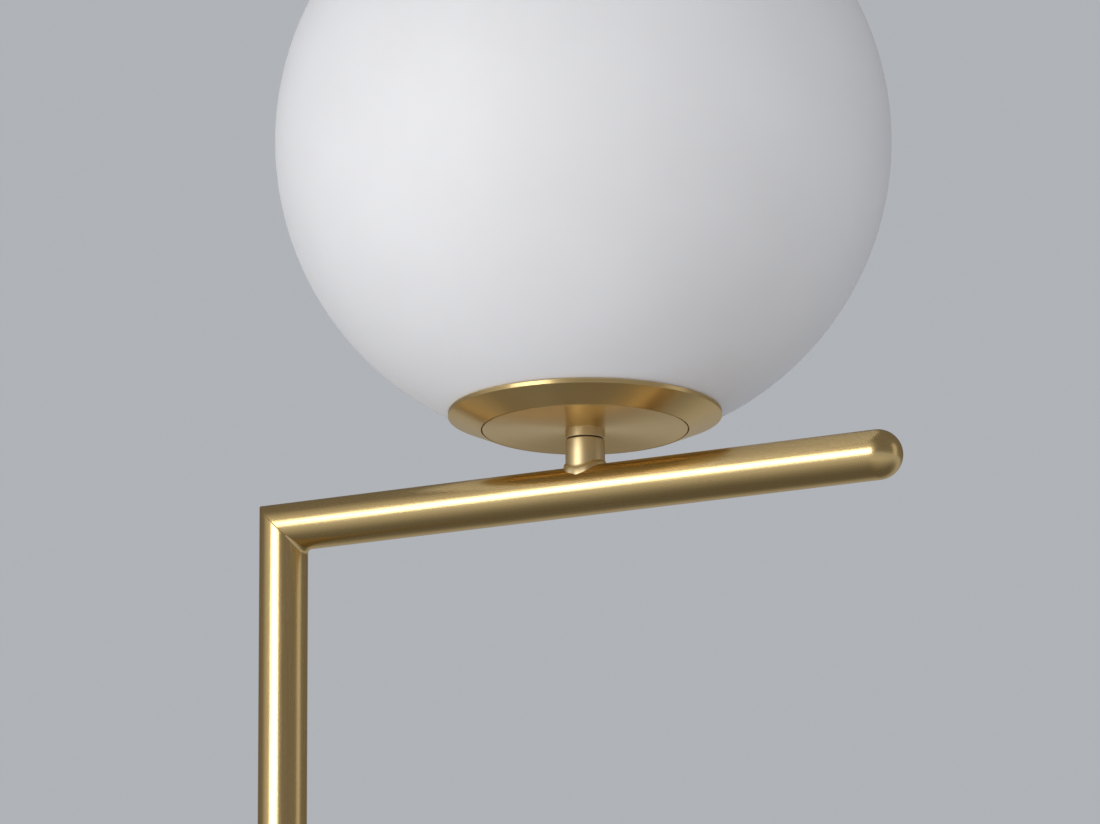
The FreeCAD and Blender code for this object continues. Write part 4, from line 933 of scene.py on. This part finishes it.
def make_camera():
    """The camera of the photograph: below the globe, turned left, up and a little over."""
    place = (1.39695, -2.7873, 0.7747)
    yaw, pitch, roll = 0.470, 0.248, 0.005
    ahead = np.array([-math.sin(yaw) * math.cos(pitch), math.cos(yaw) * math.cos(pitch), math.sin(pitch)])
    right = np.array([math.cos(yaw), math.sin(yaw), 0.0])
    down = np.cross(ahead, right)
    side = right * math.cos(roll) + down * math.sin(roll)
    under = -right * math.sin(roll) + down * math.cos(roll)
    data = bpy.data.cameras.new("camera")
    data.sensor_width = 36.0
    data.lens = 218.3
    data.clip_start, data.clip_end = 0.05, 300.0
    camera = bpy.data.objects.new("camera", data)
    turn = Matrix([side, -under, -ahead]).transposed()
    camera.matrix_world = Matrix.Translation(place) @ turn.to_4x4()
    bpy.context.scene.collection.objects.link(camera)
    bpy.context.scene.camera = camera


def dress_nodes(materials):
    """A finish for each node whose shape is kept."""
    finishes = {
        "steel": ("base_bottom_plate", "bottom_plate_screws", "block_fixing_screws", "stem_foot_plug",
                  "stem_fixing_screws", "neck_nipple", "bayonet_spacer", "bayonet_plate", "bayonet_stop_pins",
                  "head_washer", "head_lock_nut", "clamp_ring", "clamp_screws"),
        "iron": ("base_weight",),
        "nylon": ("terminal_block", "glide_ring"),
        "contact": ("terminal_screws", "stem_joint_stud", "stem_joint_socket", "neck_boss",
                    "holder_screw_shell", "holder_centre_contact", "holder_terminal_screws"),
        "fibre": ("neck_seam_washer",),
        "steatite": ("holder_insert",),
        "sheath": ("internal_flex",),
        "silicone": ("globe_gasket", "clamp_gasket"),
        "black_glass": ("bulb_cap_insulator",),
        "cap_metal": ("bulb_contact",),
        "clear": ("bulb_stem",),
        "phosphor": ("bulb_filaments",),
    }
    for finish, nodes in finishes.items():
        for name in nodes:
            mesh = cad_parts[name].data
            mesh.materials.clear()
            mesh.materials.append(materials[finish])


def make_pieces(m):
    """Each piece with its body and the node that it replaces; the bead stands for none."""
    upper = tube_to_mitre("stem_upper", "z", JOINT_Z, 1.0)
    fit(upper, "stand", "satin_brass", m["stem_brass"], "stem_upper_tube")
    fit(make_lower_stem(), "stand", "satin_brass", m["stem_brass"], "stem_lower_tube")
    fit(tube_to_mitre("arm", "x", TIP_X, 0.06), "stand", "satin_brass", m["arm_brass"], "arm_tube")
    fit(make_arm_tip(), "stand", "satin_brass", m["arm_brass"], "arm_end_cap")
    fit(make_weld_bead(), "stand", "satin_brass", m["arm_brass"])
    fit(make_lower_collar(), "stand", "satin_brass", m["collar_brass"], "neck_lower_collar")
    fit(make_upper_collar(), "stand", "satin_brass", m["collar_brass"], "neck_upper_collar")
    fit(make_disc(), "stand", "satin_brass", m["turned_brass"], "disc_plate")
    fit(make_dish(), "globe", "satin_brass", m["turned_brass"], "dish_ring")
    fit(make_globe(), "globe", "opal_glass", m["opal"], "glass_globe")
    fit(make_cover(), "stand", "satin_brass", m["base_brass"], "base_cover")
    fit(make_inlet_bush(), "stand", "black_phenolic", m["phenolic"], "cord_inlet_bush")
    fit(make_foot_ring(), "stand", "black_rubber", m["rubber"], "base_foot_ring")
    fit(make_bulb_glass(), "bulb", "clear_glass", m["clear"], "bulb_glass")
    fit(make_bulb_cap(), "bulb", "cap_metal", m["cap_metal"], "bulb_cap")
    fit(make_barrel(), "stand", "black_phenolic", m["phenolic"], "holder_barrel")
    fit(make_holder_cap(), "stand", "black_phenolic", m["phenolic"], "holder_cap")


bpy.context.scene.view_settings.view_transform = "Standard"
for stray in ("Cube", "Light", "Camera"):
    if stray in bpy.data.objects:
        bpy.data.objects.remove(bpy.data.objects[stray])
make_camera()
make_floor()
make_world()
make_lamps()
finishes = make_materials()
dress_nodes(finishes)
make_pieces(finishes)
